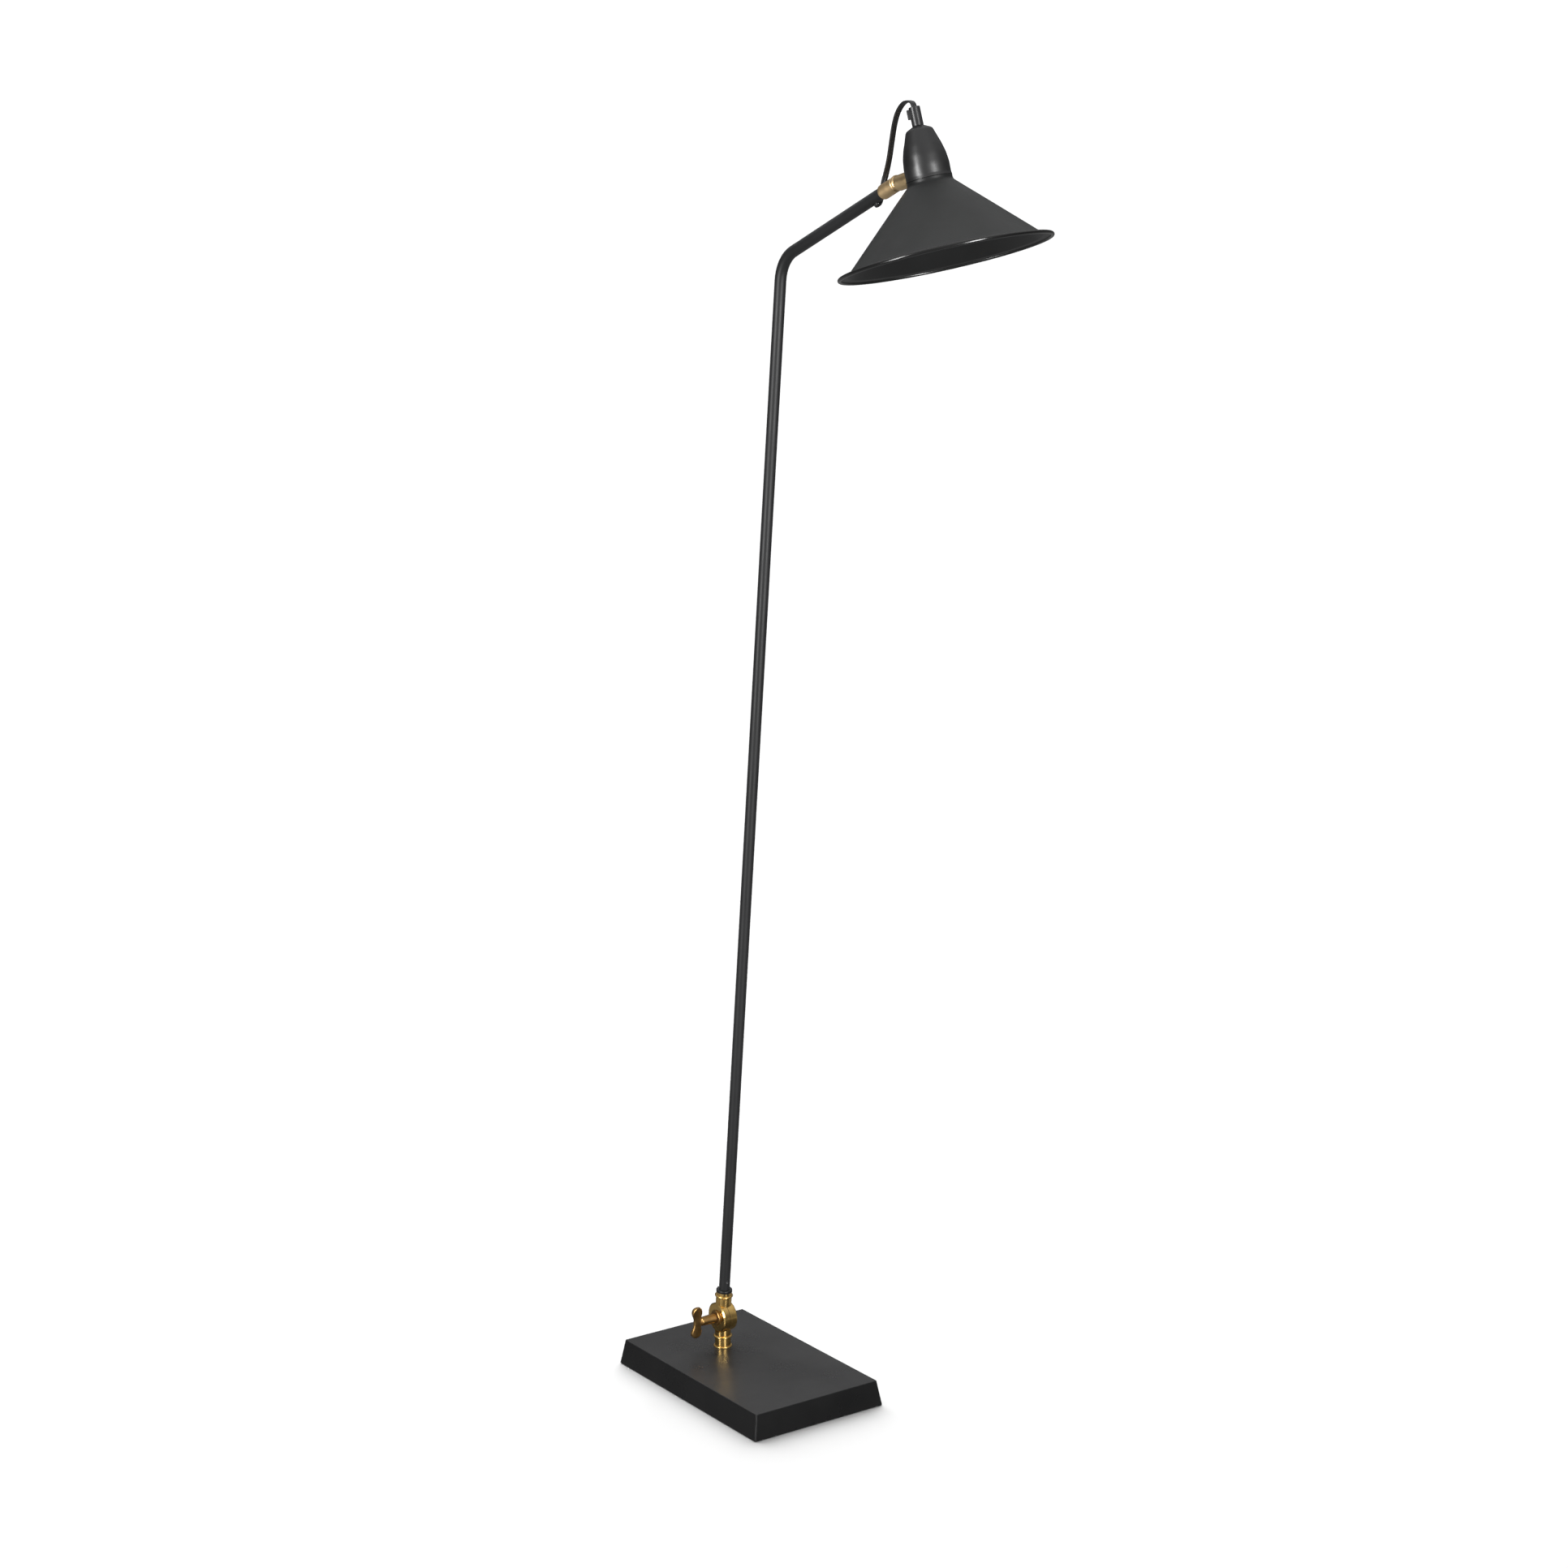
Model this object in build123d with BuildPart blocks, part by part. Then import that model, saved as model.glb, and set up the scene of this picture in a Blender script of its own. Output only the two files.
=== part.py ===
from build123d import *
import math
import os

os.makedirs("parts", exist_ok=True)

# ---------------------------------------------------------------------------
# Adjustable arm floor lamp.  Millimetres, +Z up.
# Origin: centre of the underside of the base, on the floor.
# +X: along the base's long side, the way the stem leans and the arm reaches.
# ---------------------------------------------------------------------------

# --- base
BASE_L, BASE_W = 280.0, 178.0        # cover at its foot
BASE_H = 30.0                        # top of the cover above the floor
BASE_TAPER = 9.36                    # lean of the cover's walls, degrees
COVER_T = 2.0                        # folded sheet
FELT_T = 1.0
PLATE_T = 1.5
WEIGHT_L, WEIGHT_W, WEIGHT_H = 220.0, 140.0, 25.5
POST_X, POST_Y, POST_R = 121.0, 73.0, 4.5

# --- clamp knuckle at the foot of the stem
STEM_X = -53.8                       # stem's place on the base
PIVOT_Z = 66.6                       # hinge height
LEAN = 5.56                          # stem's lean at rest, degrees
DISC_R = 17.5
NEAR_Y, FAR_Y = -9.3, 9.3            # outer faces of the two knuckle discs
SPLIT_Y = -0.8                       # face of the lower half at the joint
WASHER_T = 0.5                       # friction washer between the halves
CHAMBER_R = 13.0                     # hollow for the wires inside the discs
SPIGOT_R = 6.0                       # pivot spigot on the lower half
FIT = 0.05                           # radial clearance of a running fit
SOCKET_R = 9.4
STOP_R = 15.2                        # circle the stop pin sits on
LEAN_BACK, LEAN_ON = 15.0, 20.0      # travel each way from rest, degrees

# --- clamp screw
SCREW_R = 2.95
SCREW_PITCH = 1.0
BOSS_R, BOSS_T = 9.0, 2.0
WING_SPAN, WING_W, WING_T = 38.5, 13.0, 3.6
WING_ROLL = 5.0

# --- stem and arm: one bent tube
TUBE_R, TUBE_WALL = 6.35, 1.2
STEM_LEN = 1235.9                    # pivot to the bend's corner
ARM_UP = 22.35                       # arm's rise above level, degrees
BEND_R = 38.0
SLEEVE_S = 191.5                     # bend's corner to the brass cup, along the arm

# --- ball joint at the arm's end
BALL_S = 213.3                       # bend's corner to the ball's centre
BALL_R = 6.2
CUP_R, RING_R, STUD_SLEEVE_R = 7.85, 8.2, 8.1
NEST_R = 10.0                        # domed front of the retaining ring
NECK_R = 2.5

# --- head
RIM_C = (336.7, 7.8, 1307.3)         # centre of the shade's rim
LIGHT_TILT, LIGHT_TURN = 14.94, 18.95   # where the light points: off plumb, and round from +X
RIM_R = 108.2                        # centre of the rolled bead
BEAD_R = 2.0
SHADE_T, CAP_T = 1.0, 1.2
SEAM_Z = 79.5                        # foot of the cap above the rim
CAP_TOP = 133.0
GRIP_TOP = 152.0
GRIP_R = 5.8
HOLDER_R = 16.5
SHELL_R = 13.3                       # inside of the lampholder's screw shell

# --- cord
CORD_R = 1.5                         # solid that stands for the 6.0 x 2.6 flat cord
WIRE_R = 1.8                         # the same cord where it runs inside


def unit(v):
    n = math.sqrt(sum(c * c for c in v))
    return tuple(c / n for c in v)


def cross(a, b):
    return (a[1] * b[2] - a[2] * b[1], a[2] * b[0] - a[0] * b[2], a[0] * b[1] - a[1] * b[0])


def dot(a, b):
    return sum(x * y for x, y in zip(a, b))


def off(p, *terms):
    out = list(p)
    for k, v in terms:
        for i in range(3):
            out[i] += k * v[i]
    return tuple(out)


# --- stem and arm directions
PIVOT = (STEM_X, 0.0, PIVOT_Z)
th, up = math.radians(LEAN), math.radians(ARM_UP)
STEM_D = (math.sin(th), 0.0, math.cos(th))
STEM_N = (math.cos(th), 0.0, -math.sin(th))
ARM_D = (math.cos(up), 0.0, math.sin(up))
ARM_N = (-math.sin(up), 0.0, math.cos(up))
YD = (0.0, 1.0, 0.0)
CORNER = off(PIVOT, (STEM_LEN, STEM_D))
BALL = off(CORNER, (BALL_S, ARM_D))

# --- head directions: ZH up the head's axis, XH along the stud away from the arm
lt, ls = math.radians(LIGHT_TILT), math.radians(LIGHT_TURN)
ZH = (-math.sin(lt) * math.cos(ls), -math.sin(lt) * math.sin(ls), math.cos(lt))
STUD_Z = dot(off(BALL, (-1, RIM_C)), ZH)             # the stud's height above the rim
FOOT = off(RIM_C, (STUD_Z, ZH))
XH = unit(off(FOOT, (-1, BALL)))
YH = cross(ZH, XH)
STUD_L = math.sqrt(sum((a - b) ** 2 for a, b in zip(FOOT, BALL)))
TILT_AXIS = unit(cross(ARM_D, XH))
TILT_REST = math.degrees(math.asin(math.sqrt(sum(c * c for c in cross(ARM_D, XH)))))
print("stud height above rim", round(STUD_Z, 2), "ball to head axis", round(STUD_L, 2))
print("corner", CORNER, "ball", BALL)
print("tilt axis", TILT_AXIS, "tilt at rest", TILT_REST, "ZH", ZH, "XH", XH)


def stem_plane(u):
    """Across the stem, u above the pivot."""
    return Plane(origin=off(PIVOT, (u, STEM_D)), x_dir=STEM_N, z_dir=STEM_D)


def side_plane(y):
    """Faces -Y at y, centred on the pivot; extrude(+) goes towards -Y."""
    return Plane(origin=(STEM_X, y, PIVOT_Z), x_dir=(1, 0, 0), z_dir=(0, -1, 0))


def stem_section():
    """Half-section plane of the stem: x = radius, y = height above the pivot."""
    return Plane(origin=PIVOT, x_dir=STEM_N, z_dir=(0, -1, 0))


def arm_plane(s):
    """Across the arm, s from the bend's corner."""
    return Plane(origin=off(CORNER, (s, ARM_D)), x_dir=(0, 1, 0), z_dir=ARM_D)


def arm_section():
    """Half-section of the arm's end fittings about the ball: x along the arm, y = radius."""
    return Plane(origin=BALL, x_dir=ARM_D, z_dir=(0, -1, 0))


def stud_section():
    """Half-section of the stud: x along the stud from the ball, y = radius (towards the head's top)."""
    return Plane(origin=BALL, x_dir=XH, z_dir=tuple(-c for c in YH))


def head_section():
    """Half-section of the head: x = radius, y = height above the rim."""
    return Plane(origin=RIM_C, x_dir=XH, z_dir=tuple(-c for c in YH))


def head_plane(z):
    """Across the head's axis, z above the rim."""
    return Plane(origin=off(RIM_C, (z, ZH)), x_dir=XH, z_dir=ZH)


STEM_AX = Axis(PIVOT, STEM_D)
HINGE_AX = Axis(PIVOT, (0, 1, 0))
HINGE_SEC = Plane(origin=PIVOT, x_dir=(1, 0, 0), z_dir=(0, 0, 1))   # x = radius, y = Y
BASE_AX = Axis((STEM_X, 0, 0), (0, 0, 1))
ARM_AX = Axis(BALL, ARM_D)
STUD_AX = Axis(BALL, XH)
HEAD_AX = Axis(RIM_C, ZH)


def head_at(x, y, z):
    return off(RIM_C, (x, XH), (y, YH), (z, ZH))


def arm_at(s, y, n):
    return off(CORNER, (s, ARM_D), (y, YD), (n, ARM_N))


# ===========================================================================
# BASE
# ===========================================================================
cover_foot = FELT_T
cover_h = BASE_H - cover_foot
with BuildPart() as base_cover:
    with BuildSketch(Plane.XY.offset(cover_foot)):
        Rectangle(BASE_L, BASE_W)
    extrude(amount=cover_h, taper=BASE_TAPER)
    slanted = base_cover.edges().filter_by(lambda e: abs(e.center().Z - (cover_foot + BASE_H) / 2) < 2)
    fillet(slanted, radius=1.6)
    fillet(base_cover.faces().sort_by(Axis.Z)[-1].edges(), radius=1.0)
    with BuildSketch(Plane.XY.offset(cover_foot)):
        Rectangle(BASE_L - 2 * COVER_T, BASE_W - 2 * COVER_T)
    extrude(amount=cover_h - COVER_T, taper=BASE_TAPER, mode=Mode.SUBTRACT)
    with BuildSketch(Plane.XY.offset(BASE_H)):
        with Locations((STEM_X, 0)):
            Circle(5.1)
    extrude(amount=-3 * COVER_T, mode=Mode.SUBTRACT)
    # way through the rear wall for the lead
    with BuildSketch(Plane.YZ.offset(-BASE_L / 2 - 5)):
        with Locations((0, 13.0)):
            Circle(5.0)
    extrude(amount=15, mode=Mode.SUBTRACT)
base_cover.part.label = "base_cover"
export_step(base_cover.part, "parts/base_cover.step")

with BuildPart() as cover_posts:
    with BuildSketch(Plane.XY.offset(FELT_T + PLATE_T)):
        with GridLocations(2 * POST_X, 2 * POST_Y, 2, 2):
            Circle(POST_R)
            Circle(1.7, mode=Mode.SUBTRACT)
    extrude(amount=BASE_H - COVER_T - FELT_T - PLATE_T)
cover_posts.part.label = "cover_posts"
export_step(cover_posts.part, "parts/cover_posts.step")

plate_l = BASE_L - 2 * COVER_T - 1.2
plate_w = BASE_W - 2 * COVER_T - 1.2
with BuildPart() as base_plate:
    with BuildSketch(Plane.XY.offset(FELT_T)):
        Rectangle(plate_l, plate_w)
        with GridLocations(2 * POST_X, 2 * POST_Y, 2, 2):
            Circle(2.2, mode=Mode.SUBTRACT)
    extrude(amount=PLATE_T)
    with Locations(Plane(origin=(0, 0, FELT_T), z_dir=(0, 0, -1))):
        with GridLocations(2 * POST_X, 2 * POST_Y, 2, 2):
            CounterSinkHole(radius=2.2, counter_sink_radius=3.4, depth=PLATE_T, counter_sink_angle=90)
base_plate.part.label = "base_plate"
export_step(base_plate.part, "parts/base_plate.step")

with BuildPart() as base_plate_screws:
    with BuildSketch(Plane.XY.offset(FELT_T + 0.1)):
        with GridLocations(2 * POST_X, 2 * POST_Y, 2, 2):
            Circle(3.0)
    extrude(amount=1.2, taper=44)
    with BuildSketch(Plane.XY.offset(FELT_T + 0.6)):
        with GridLocations(2 * POST_X, 2 * POST_Y, 2, 2):
            Circle(1.65)
    extrude(amount=11)
base_plate_screws.part.label = "base_plate_screws"
export_step(base_plate_screws.part, "parts/base_plate_screws.step")

with BuildPart() as counterweight:
    with BuildSketch(Plane.XY.offset(FELT_T + PLATE_T)):
        with Locations((4, 0)):
            RectangleRounded(WEIGHT_L, WEIGHT_W, 6)
        with Locations((STEM_X, 0)):
            Circle(17.5, mode=Mode.SUBTRACT)
        with Locations((STEM_X - 30, 0)):
            Rectangle(60, 34, mode=Mode.SUBTRACT)
    extrude(amount=WEIGHT_H)
    chamfer(counterweight.faces().sort_by(Axis.Z)[-1].outer_wire().edges(), length=2.0)
counterweight.part.label = "counterweight"
export_step(counterweight.part, "parts/counterweight.step")

with BuildPart() as felt_pad:
    with BuildSketch(Plane.XY):
        RectangleRounded(BASE_L - 2.0, BASE_W - 2.0, 2.0)
    extrude(amount=FELT_T)
felt_pad.part.label = "felt_pad"
export_step(felt_pad.part, "parts/felt_pad.step")

# lead inlet: moulded grommet in the slanted rear wall
wall_x = -BASE_L / 2 + (13.0 - cover_foot) * math.tan(math.radians(BASE_TAPER))
wall_n = unit((-math.cos(math.radians(BASE_TAPER)), 0, math.sin(math.radians(BASE_TAPER))))
GLAND = Plane(origin=(wall_x, 0, 13.0), x_dir=(0, 1, 0), z_dir=wall_n)
with BuildPart() as lead_grommet:
    with BuildSketch(GLAND.offset(0.05)):
        Circle(7.0)
    extrude(amount=2.2)
    fillet(lead_grommet.faces().sort_by(Axis(GLAND.origin, GLAND.z_dir))[-1].edges(), radius=1.2)
    with BuildSketch(GLAND.offset(0.05)):
        Circle(4.6)
    extrude(amount=-2.5)
    with BuildSketch(GLAND.offset(-2.35)):
        Circle(6.6)
    extrude(amount=-1.6)
    with BuildSketch(GLAND.offset(4)):
        Circle(3.3)
    extrude(amount=-12, mode=Mode.SUBTRACT)
lead_grommet.part.label = "lead_grommet"
export_step(lead_grommet.part, "parts/lead_grommet.step")

with BuildPart() as terminal_block:
    with BuildSketch(Plane.XY.offset(FELT_T + PLATE_T)):
        with Locations((-92, 0)):
            RectangleRounded(12, 22, 1.5)
    extrude(amount=12)
    with BuildSketch(Plane.XY.offset(FELT_T + PLATE_T + 12)):
        with Locations((-92, 0)):
            with GridLocations(5.6, 9, 2, 2):
                Circle(2.05)
    extrude(amount=-5, mode=Mode.SUBTRACT)
    # ways in for the cores, front and back
    with BuildSketch(Plane.YZ.offset(-98.5)):
        with Locations((0, 7.0)):
            with GridLocations(9, 1, 2, 1):
                Circle(1.9)
    extrude(amount=3.5, mode=Mode.SUBTRACT)
terminal_block.part.label = "terminal_block"
export_step(terminal_block.part, "parts/terminal_block.step")

with BuildPart() as terminal_block_screws:
    with BuildSketch(Plane.XY.offset(FELT_T + PLATE_T + 7.2)):
        with Locations((-92, 0)):
            with GridLocations(5.6, 9, 2, 2):
                Circle(1.9)
    extrude(amount=4.0)
    with BuildSketch(Plane.XY.offset(FELT_T + PLATE_T + 11.2)):
        with Locations((-92, 0)):
            with GridLocations(5.6, 9, 2, 2):
                Rectangle(0.6, 5)
    extrude(amount=-0.8, mode=Mode.SUBTRACT)
terminal_block_screws.part.label = "terminal_block_screws"
export_step(terminal_block_screws.part, "parts/terminal_block_screws.step")

# hollow threaded pipe that ties the knuckle to the cover
NIP_R, NIP_BORE = 4.95, 3.4
NIP_LOW, NIP_TOP = 19.0, 44.0
with BuildPart() as stem_nipple:
    with BuildSketch(Plane.XY.offset(NIP_LOW)):
        with Locations((STEM_X, 0)):
            Circle(NIP_R)
            Circle(NIP_BORE, mode=Mode.SUBTRACT)
    extrude(amount=NIP_TOP - NIP_LOW)
stem_nipple.part.label = "stem_nipple"
export_step(stem_nipple.part, "parts/stem_nipple.step")

with BuildPart() as stem_washer:
    with BuildSketch(Plane.XY.offset(BASE_H - COVER_T - 1.5)):
        with Locations((STEM_X, 0)):
            Circle(13.0)
            Circle(5.2, mode=Mode.SUBTRACT)
    extrude(amount=1.5)
stem_washer.part.label = "stem_washer"
export_step(stem_washer.part, "parts/stem_washer.step")

with BuildPart() as stem_nut:
    with BuildSketch(Plane.XY.offset(BASE_H - COVER_T - 1.5 - 5.0)):
        with Locations((STEM_X, 0)):
            RegularPolygon(9.5, 6)
            Circle(NIP_R + 0.02, mode=Mode.SUBTRACT)
    extrude(amount=5.0)
stem_nut.part.label = "stem_nut"
export_step(stem_nut.part, "parts/stem_nut.step")

with BuildPart() as stem_flange:
    with BuildSketch(Plane.XY.offset(BASE_H)):
        with Locations((STEM_X, 0)):
            Circle(10.9)
            Circle(5.2, mode=Mode.SUBTRACT)
    extrude(amount=1.3)
    fillet(stem_flange.faces().sort_by(Axis.Z)[-1].outer_wire().edges(), radius=0.6)
stem_flange.part.label = "stem_flange"
export_step(stem_flange.part, "parts/stem_flange.step")

# ===========================================================================
# CLAMP KNUCKLE
# ===========================================================================
FLANGE_TOP = BASE_H + 1.3
with BuildPart() as lower_knuckle:
    # socket that screws on the nipple
    with BuildSketch(Plane.XY.offset(FLANGE_TOP)):
        with Locations((STEM_X, 0)):
            Circle(SOCKET_R)
    extrude(amount=PIVOT_Z - 8 - FLANGE_TOP)
    # room for the other disc
    with BuildSketch(side_plane(SPLIT_Y)):
        Circle(DISC_R + 0.5)
    extrude(amount=14, mode=Mode.SUBTRACT)
    # bead round the socket
    with BuildSketch(Plane(origin=(STEM_X, 0, 42.8), x_dir=(1, 0, 0), z_dir=(0, -1, 0))):
        with Locations((SOCKET_R - 0.2, 0)):
            Ellipse(2.1, 1.35)
    revolve(axis=BASE_AX)
    # far disc, its outer edge rounded
    with BuildSketch(HINGE_SEC):
        with BuildLine():
            Line((0, SPLIT_Y), (DISC_R, SPLIT_Y))
            Line((DISC_R, SPLIT_Y), (DISC_R, FAR_Y - 1.6))
            ThreePointArc((DISC_R, FAR_Y - 1.6), (DISC_R - 0.47, FAR_Y - 0.47), (DISC_R - 1.6, FAR_Y))
            Line((DISC_R - 1.6, FAR_Y), (0, FAR_Y))
            Line((0, FAR_Y), (0, SPLIT_Y))
        make_face()
    revolve(axis=HINGE_AX)
    # hollow for the wires
    with BuildSketch(side_plane(4.8)):
        Circle(CHAMBER_R)
    extrude(amount=4.8 - SPLIT_Y, mode=Mode.SUBTRACT)
    # pivot spigot
    with BuildSketch(side_plane(5.5)):
        Circle(SPIGOT_R)
    extrude(amount=5.5 + 7.3)
    # tapped hole for the clamp screw
    with BuildSketch(side_plane(7.0)):
        Circle(SCREW_R + FIT)
    extrude(amount=15, mode=Mode.SUBTRACT)
    # socket's thread and the wires' way up
    with BuildSketch(Plane.XY.offset(FLANGE_TOP)):
        with Locations((STEM_X, 0)):
            Circle(NIP_R + 0.02)
    extrude(amount=NIP_TOP - FLANGE_TOP + 0.5, mode=Mode.SUBTRACT)
    with BuildSketch(Plane.XY.offset(NIP_TOP)):
        with Locations((STEM_X, 1.6)):
            Circle(2.6)
    extrude(amount=PIVOT_Z - 9.5 - NIP_TOP, mode=Mode.SUBTRACT)
    # seat of the stop pin
    with BuildSketch(side_plane(4.0)):
        with Locations((-STOP_R, 0)):
            Circle(1.2)
    extrude(amount=6, mode=Mode.SUBTRACT)
lower_knuckle.part.label = "lower_knuckle"
export_step(lower_knuckle.part, "parts/lower_knuckle.step")

with BuildPart() as stop_pin:
    with BuildSketch(side_plane(3.9)):
        with Locations((-STOP_R, 0)):
            Circle(1.19)
    extrude(amount=3.9 + 3.6)
stop_pin.part.label = "stop_pin"
export_step(stop_pin.part, "parts/stop_pin.step")

with BuildPart() as friction_washer:
    with BuildSketch(side_plane(SPLIT_Y)):
        Circle(17.0)
        Circle(13.3, mode=Mode.SUBTRACT)
        with Locations((-STOP_R, 0)):
            Circle(1.3, mode=Mode.SUBTRACT)
    extrude(amount=WASHER_T - 0.02)
friction_washer.part.label = "friction_washer"
export_step(friction_washer.part, "parts/friction_washer.step")

near_face = SPLIT_Y - WASHER_T
with BuildPart() as upper_knuckle:
    with BuildSketch(stem_plane(8.0)):
        Circle(SOCKET_R - 0.15)
    extrude(amount=32.0 - 8.0)
    with BuildSketch(side_plane(14.0)):
        Circle(DISC_R + 0.5)
    extrude(amount=14.0 - near_face, mode=Mode.SUBTRACT)
    with BuildSketch(stem_section()):
        with Locations((SOCKET_R - 0.35, 27.2)):
            Ellipse(1.6, 1.3)
    revolve(axis=STEM_AX)
    # near disc, its outer face bevelled
    with BuildSketch(HINGE_SEC):
        with BuildLine():
            Polyline((0, near_face), (DISC_R, near_face), (DISC_R, NEAR_Y + 1.1), (DISC_R - 1.5, NEAR_Y), (0, NEAR_Y), (0, near_face))
        make_face()
    revolve(axis=HINGE_AX)
    # hollow for the wires, seat of the spigot, way through for the screw
    with BuildSketch(side_plane(near_face)):
        Circle(CHAMBER_R)
    extrude(amount=4.5, mode=Mode.SUBTRACT)
    with BuildSketch(side_plane(near_face)):
        Circle(SPIGOT_R + FIT)
    extrude(amount=6.4, mode=Mode.SUBTRACT)
    with BuildSketch(side_plane(near_face)):
        Circle(3.3)
    extrude(amount=12, mode=Mode.SUBTRACT)
    # tube socket and the wires' way through the disc's wall
    with BuildSketch(stem_plane(19.0)):
        Circle(TUBE_R + 0.03)
    extrude(amount=14, mode=Mode.SUBTRACT)
    with BuildSketch(stem_plane(9.5)):
        with Locations((0, -3.6)):
            Circle(2.3)
    extrude(amount=10.5, mode=Mode.SUBTRACT)
    # arc slot that the stop pin runs in
    with BuildSketch(side_plane(near_face)):
        with BuildLine():
            a0, a1 = 180 - (LEAN_BACK + 6), 180 + (LEAN_ON + 6)
            ro, ri = STOP_R + 1.45, STOP_R - 1.45
            CenterArc((0, 0), ro, a0, a1 - a0)
            CenterArc((0, 0), ri, a0, a1 - a0)
            for a in (a0, a1):
                c, s = math.cos(math.radians(a)), math.sin(math.radians(a))
                Line((ro * c, ro * s), (ri * c, ri * s))
        make_face()
    extrude(amount=2.6, mode=Mode.SUBTRACT)
    # tapped hole of the tube's set screw
    with BuildSketch(Plane(origin=off(PIVOT, (29.6, STEM_D)), x_dir=STEM_D, z_dir=(0, 1, 0))):
        Circle(1.55)
    extrude(amount=12, mode=Mode.SUBTRACT)
upper_knuckle.part.label = "upper_knuckle"
export_step(upper_knuckle.part, "parts/upper_knuckle.step")

with BuildPart() as clamp_washer:
    with BuildSketch(side_plane(NEAR_Y - 0.02)):
        Circle(BOSS_R)
        Circle(3.1, mode=Mode.SUBTRACT)
    extrude(amount=BOSS_T)
    fillet(clamp_washer.faces().filter_by(Axis.Y).sort_by(Axis.Y)[0].outer_wire().edges(), radius=0.9)
clamp_washer.part.label = "clamp_washer"
export_step(clamp_washer.part, "parts/clamp_washer.step")

SHANK_Y = NEAR_Y - 0.02 - BOSS_T - 0.02
with BuildPart() as clamp_screw:
    with BuildSketch(side_plane(4.0)):
        Circle(SCREW_R)
    extrude(amount=4.0 - (SHANK_Y - 9.0))
    chamfer(clamp_screw.faces().filter_by(Axis.Y).sort_by(Axis.Y)[-1].edges(), length=0.7)
clamp_screw.part.label = "clamp_screw"
export_step(clamp_screw.part, "parts/clamp_screw.step")

# cast wing handle: tapered shank and a waisted two-lobed wing
WING_Y = SHANK_Y - 25.5                              # middle of the wing
roll = math.radians(WING_ROLL)
WING_UP = (math.sin(roll), 0, math.cos(roll))
WING_PL = Plane(origin=(STEM_X, WING_Y, PIVOT_Z), x_dir=(0, 1, 0), z_dir=cross(YD, WING_UP))
with BuildPart() as wing_handle:
    with BuildSketch(Plane(origin=(STEM_X, 0, PIVOT_Z), x_dir=(1, 0, 0), z_dir=(0, 0, 1))):
        with BuildLine():
            Polyline((0, SHANK_Y), (5.9, SHANK_Y), (5.9, SHANK_Y - 1.2), (5.2, WING_Y + 6.0), (0, WING_Y + 4.0), (0, SHANK_Y))
        make_face()
    revolve(axis=Axis(PIVOT, (0, 1, 0)))
    with BuildSketch(WING_PL.offset(-WING_T / 2)):
        with BuildLine():
            h, w = WING_SPAN / 2, WING_W / 2
            Spline(
                (0, h), (w * 0.75, h - 2.0), (w, h - 7.5), (w * 0.82, h - 13.5), (w * 0.78, 0),
                (w * 0.82, -h + 13.5), (w, -h + 7.5), (w * 0.75, -h + 2.0), (0, -h),
                (-w * 0.75, -h + 2.0), (-w, -h + 7.5), (-w * 0.68, -h + 13.5), (-w * 0.55, 0),
                (-w * 0.68, h - 13.5), (-w, h - 7.5), (-w * 0.75, h - 2.0),
                periodic=True,
            )
        make_face()
    extrude(amount=WING_T)
    with BuildSketch(side_plane(SHANK_Y)):
        Circle(SCREW_R)
    extrude(amount=9.0, mode=Mode.SUBTRACT)
wing_handle.part.label = "wing_handle"
export_step(wing_handle.part, "parts/wing_handle.step")

# ===========================================================================
# STEM AND ARM
# ===========================================================================
SET_DIR = unit((0.99, -0.14, 0))
SET_DIR = unit(off(SET_DIR, (-dot(SET_DIR, STEM_D), STEM_D)))      # the set screw's side of the stem
TUBE_LOW = 19.3
TUBE_END = SLEEVE_S + 11.5
tube_a, tube_b = off(PIVOT, (TUBE_LOW, STEM_D)), off(CORNER, (TUBE_END, ARM_D))
EXIT_S = 176.0
with BuildPart() as arm_tube:
    with BuildLine():
        FilletPolyline(tube_a, CORNER, tube_b, radius=BEND_R)
    with BuildSketch(Plane(origin=tube_a, x_dir=STEM_N, z_dir=STEM_D)):
        Circle(TUBE_R)
        Circle(TUBE_R - TUBE_WALL, mode=Mode.SUBTRACT)
    sweep()
    # the cord's way in, under the arm
    with BuildSketch(Plane(origin=arm_at(EXIT_S, 0, -10), x_dir=ARM_D, z_dir=ARM_N)):
        SlotOverall(8.0, 4.6)
    extrude(amount=8.5, mode=Mode.SUBTRACT)
    # tapped hole of the set screw above the socket
    with BuildSketch(Plane(origin=off(PIVOT, (45.2, STEM_D), (0, YD)), x_dir=STEM_D, z_dir=SET_DIR)):
        Circle(1.5)
    extrude(amount=9, mode=Mode.SUBTRACT)
arm_tube.part.label = "arm_tube"
export_step(arm_tube.part, "parts/arm_tube.step")

with BuildPart() as socket_lock_ring:
    with BuildSketch(stem_plane(32.05)):
        Circle(SOCKET_R)
        Circle(TUBE_R + 0.05, mode=Mode.SUBTRACT)
    extrude(amount=3.3)
    fillet(socket_lock_ring.faces().sort_by(Axis(PIVOT, STEM_D))[-1].outer_wire().edges(), radius=1.2)
socket_lock_ring.part.label = "socket_lock_ring"
export_step(socket_lock_ring.part, "parts/socket_lock_ring.step")

with BuildPart() as socket_set_screw:
    with BuildSketch(Plane(origin=off(PIVOT, (29.6, STEM_D), (TUBE_R + 0.15, YD)), x_dir=STEM_D, z_dir=(0, 1, 0))):
        Circle(1.5)
    extrude(amount=2.6)
    with BuildSketch(Plane(origin=off(PIVOT, (29.6, STEM_D), (TUBE_R + 2.75, YD)), x_dir=STEM_D, z_dir=(0, 1, 0))):
        RegularPolygon(0.8, 6)
    extrude(amount=-1.2, mode=Mode.SUBTRACT)
socket_set_screw.part.label = "socket_set_screw"
export_step(socket_set_screw.part, "parts/socket_set_screw.step")

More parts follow.
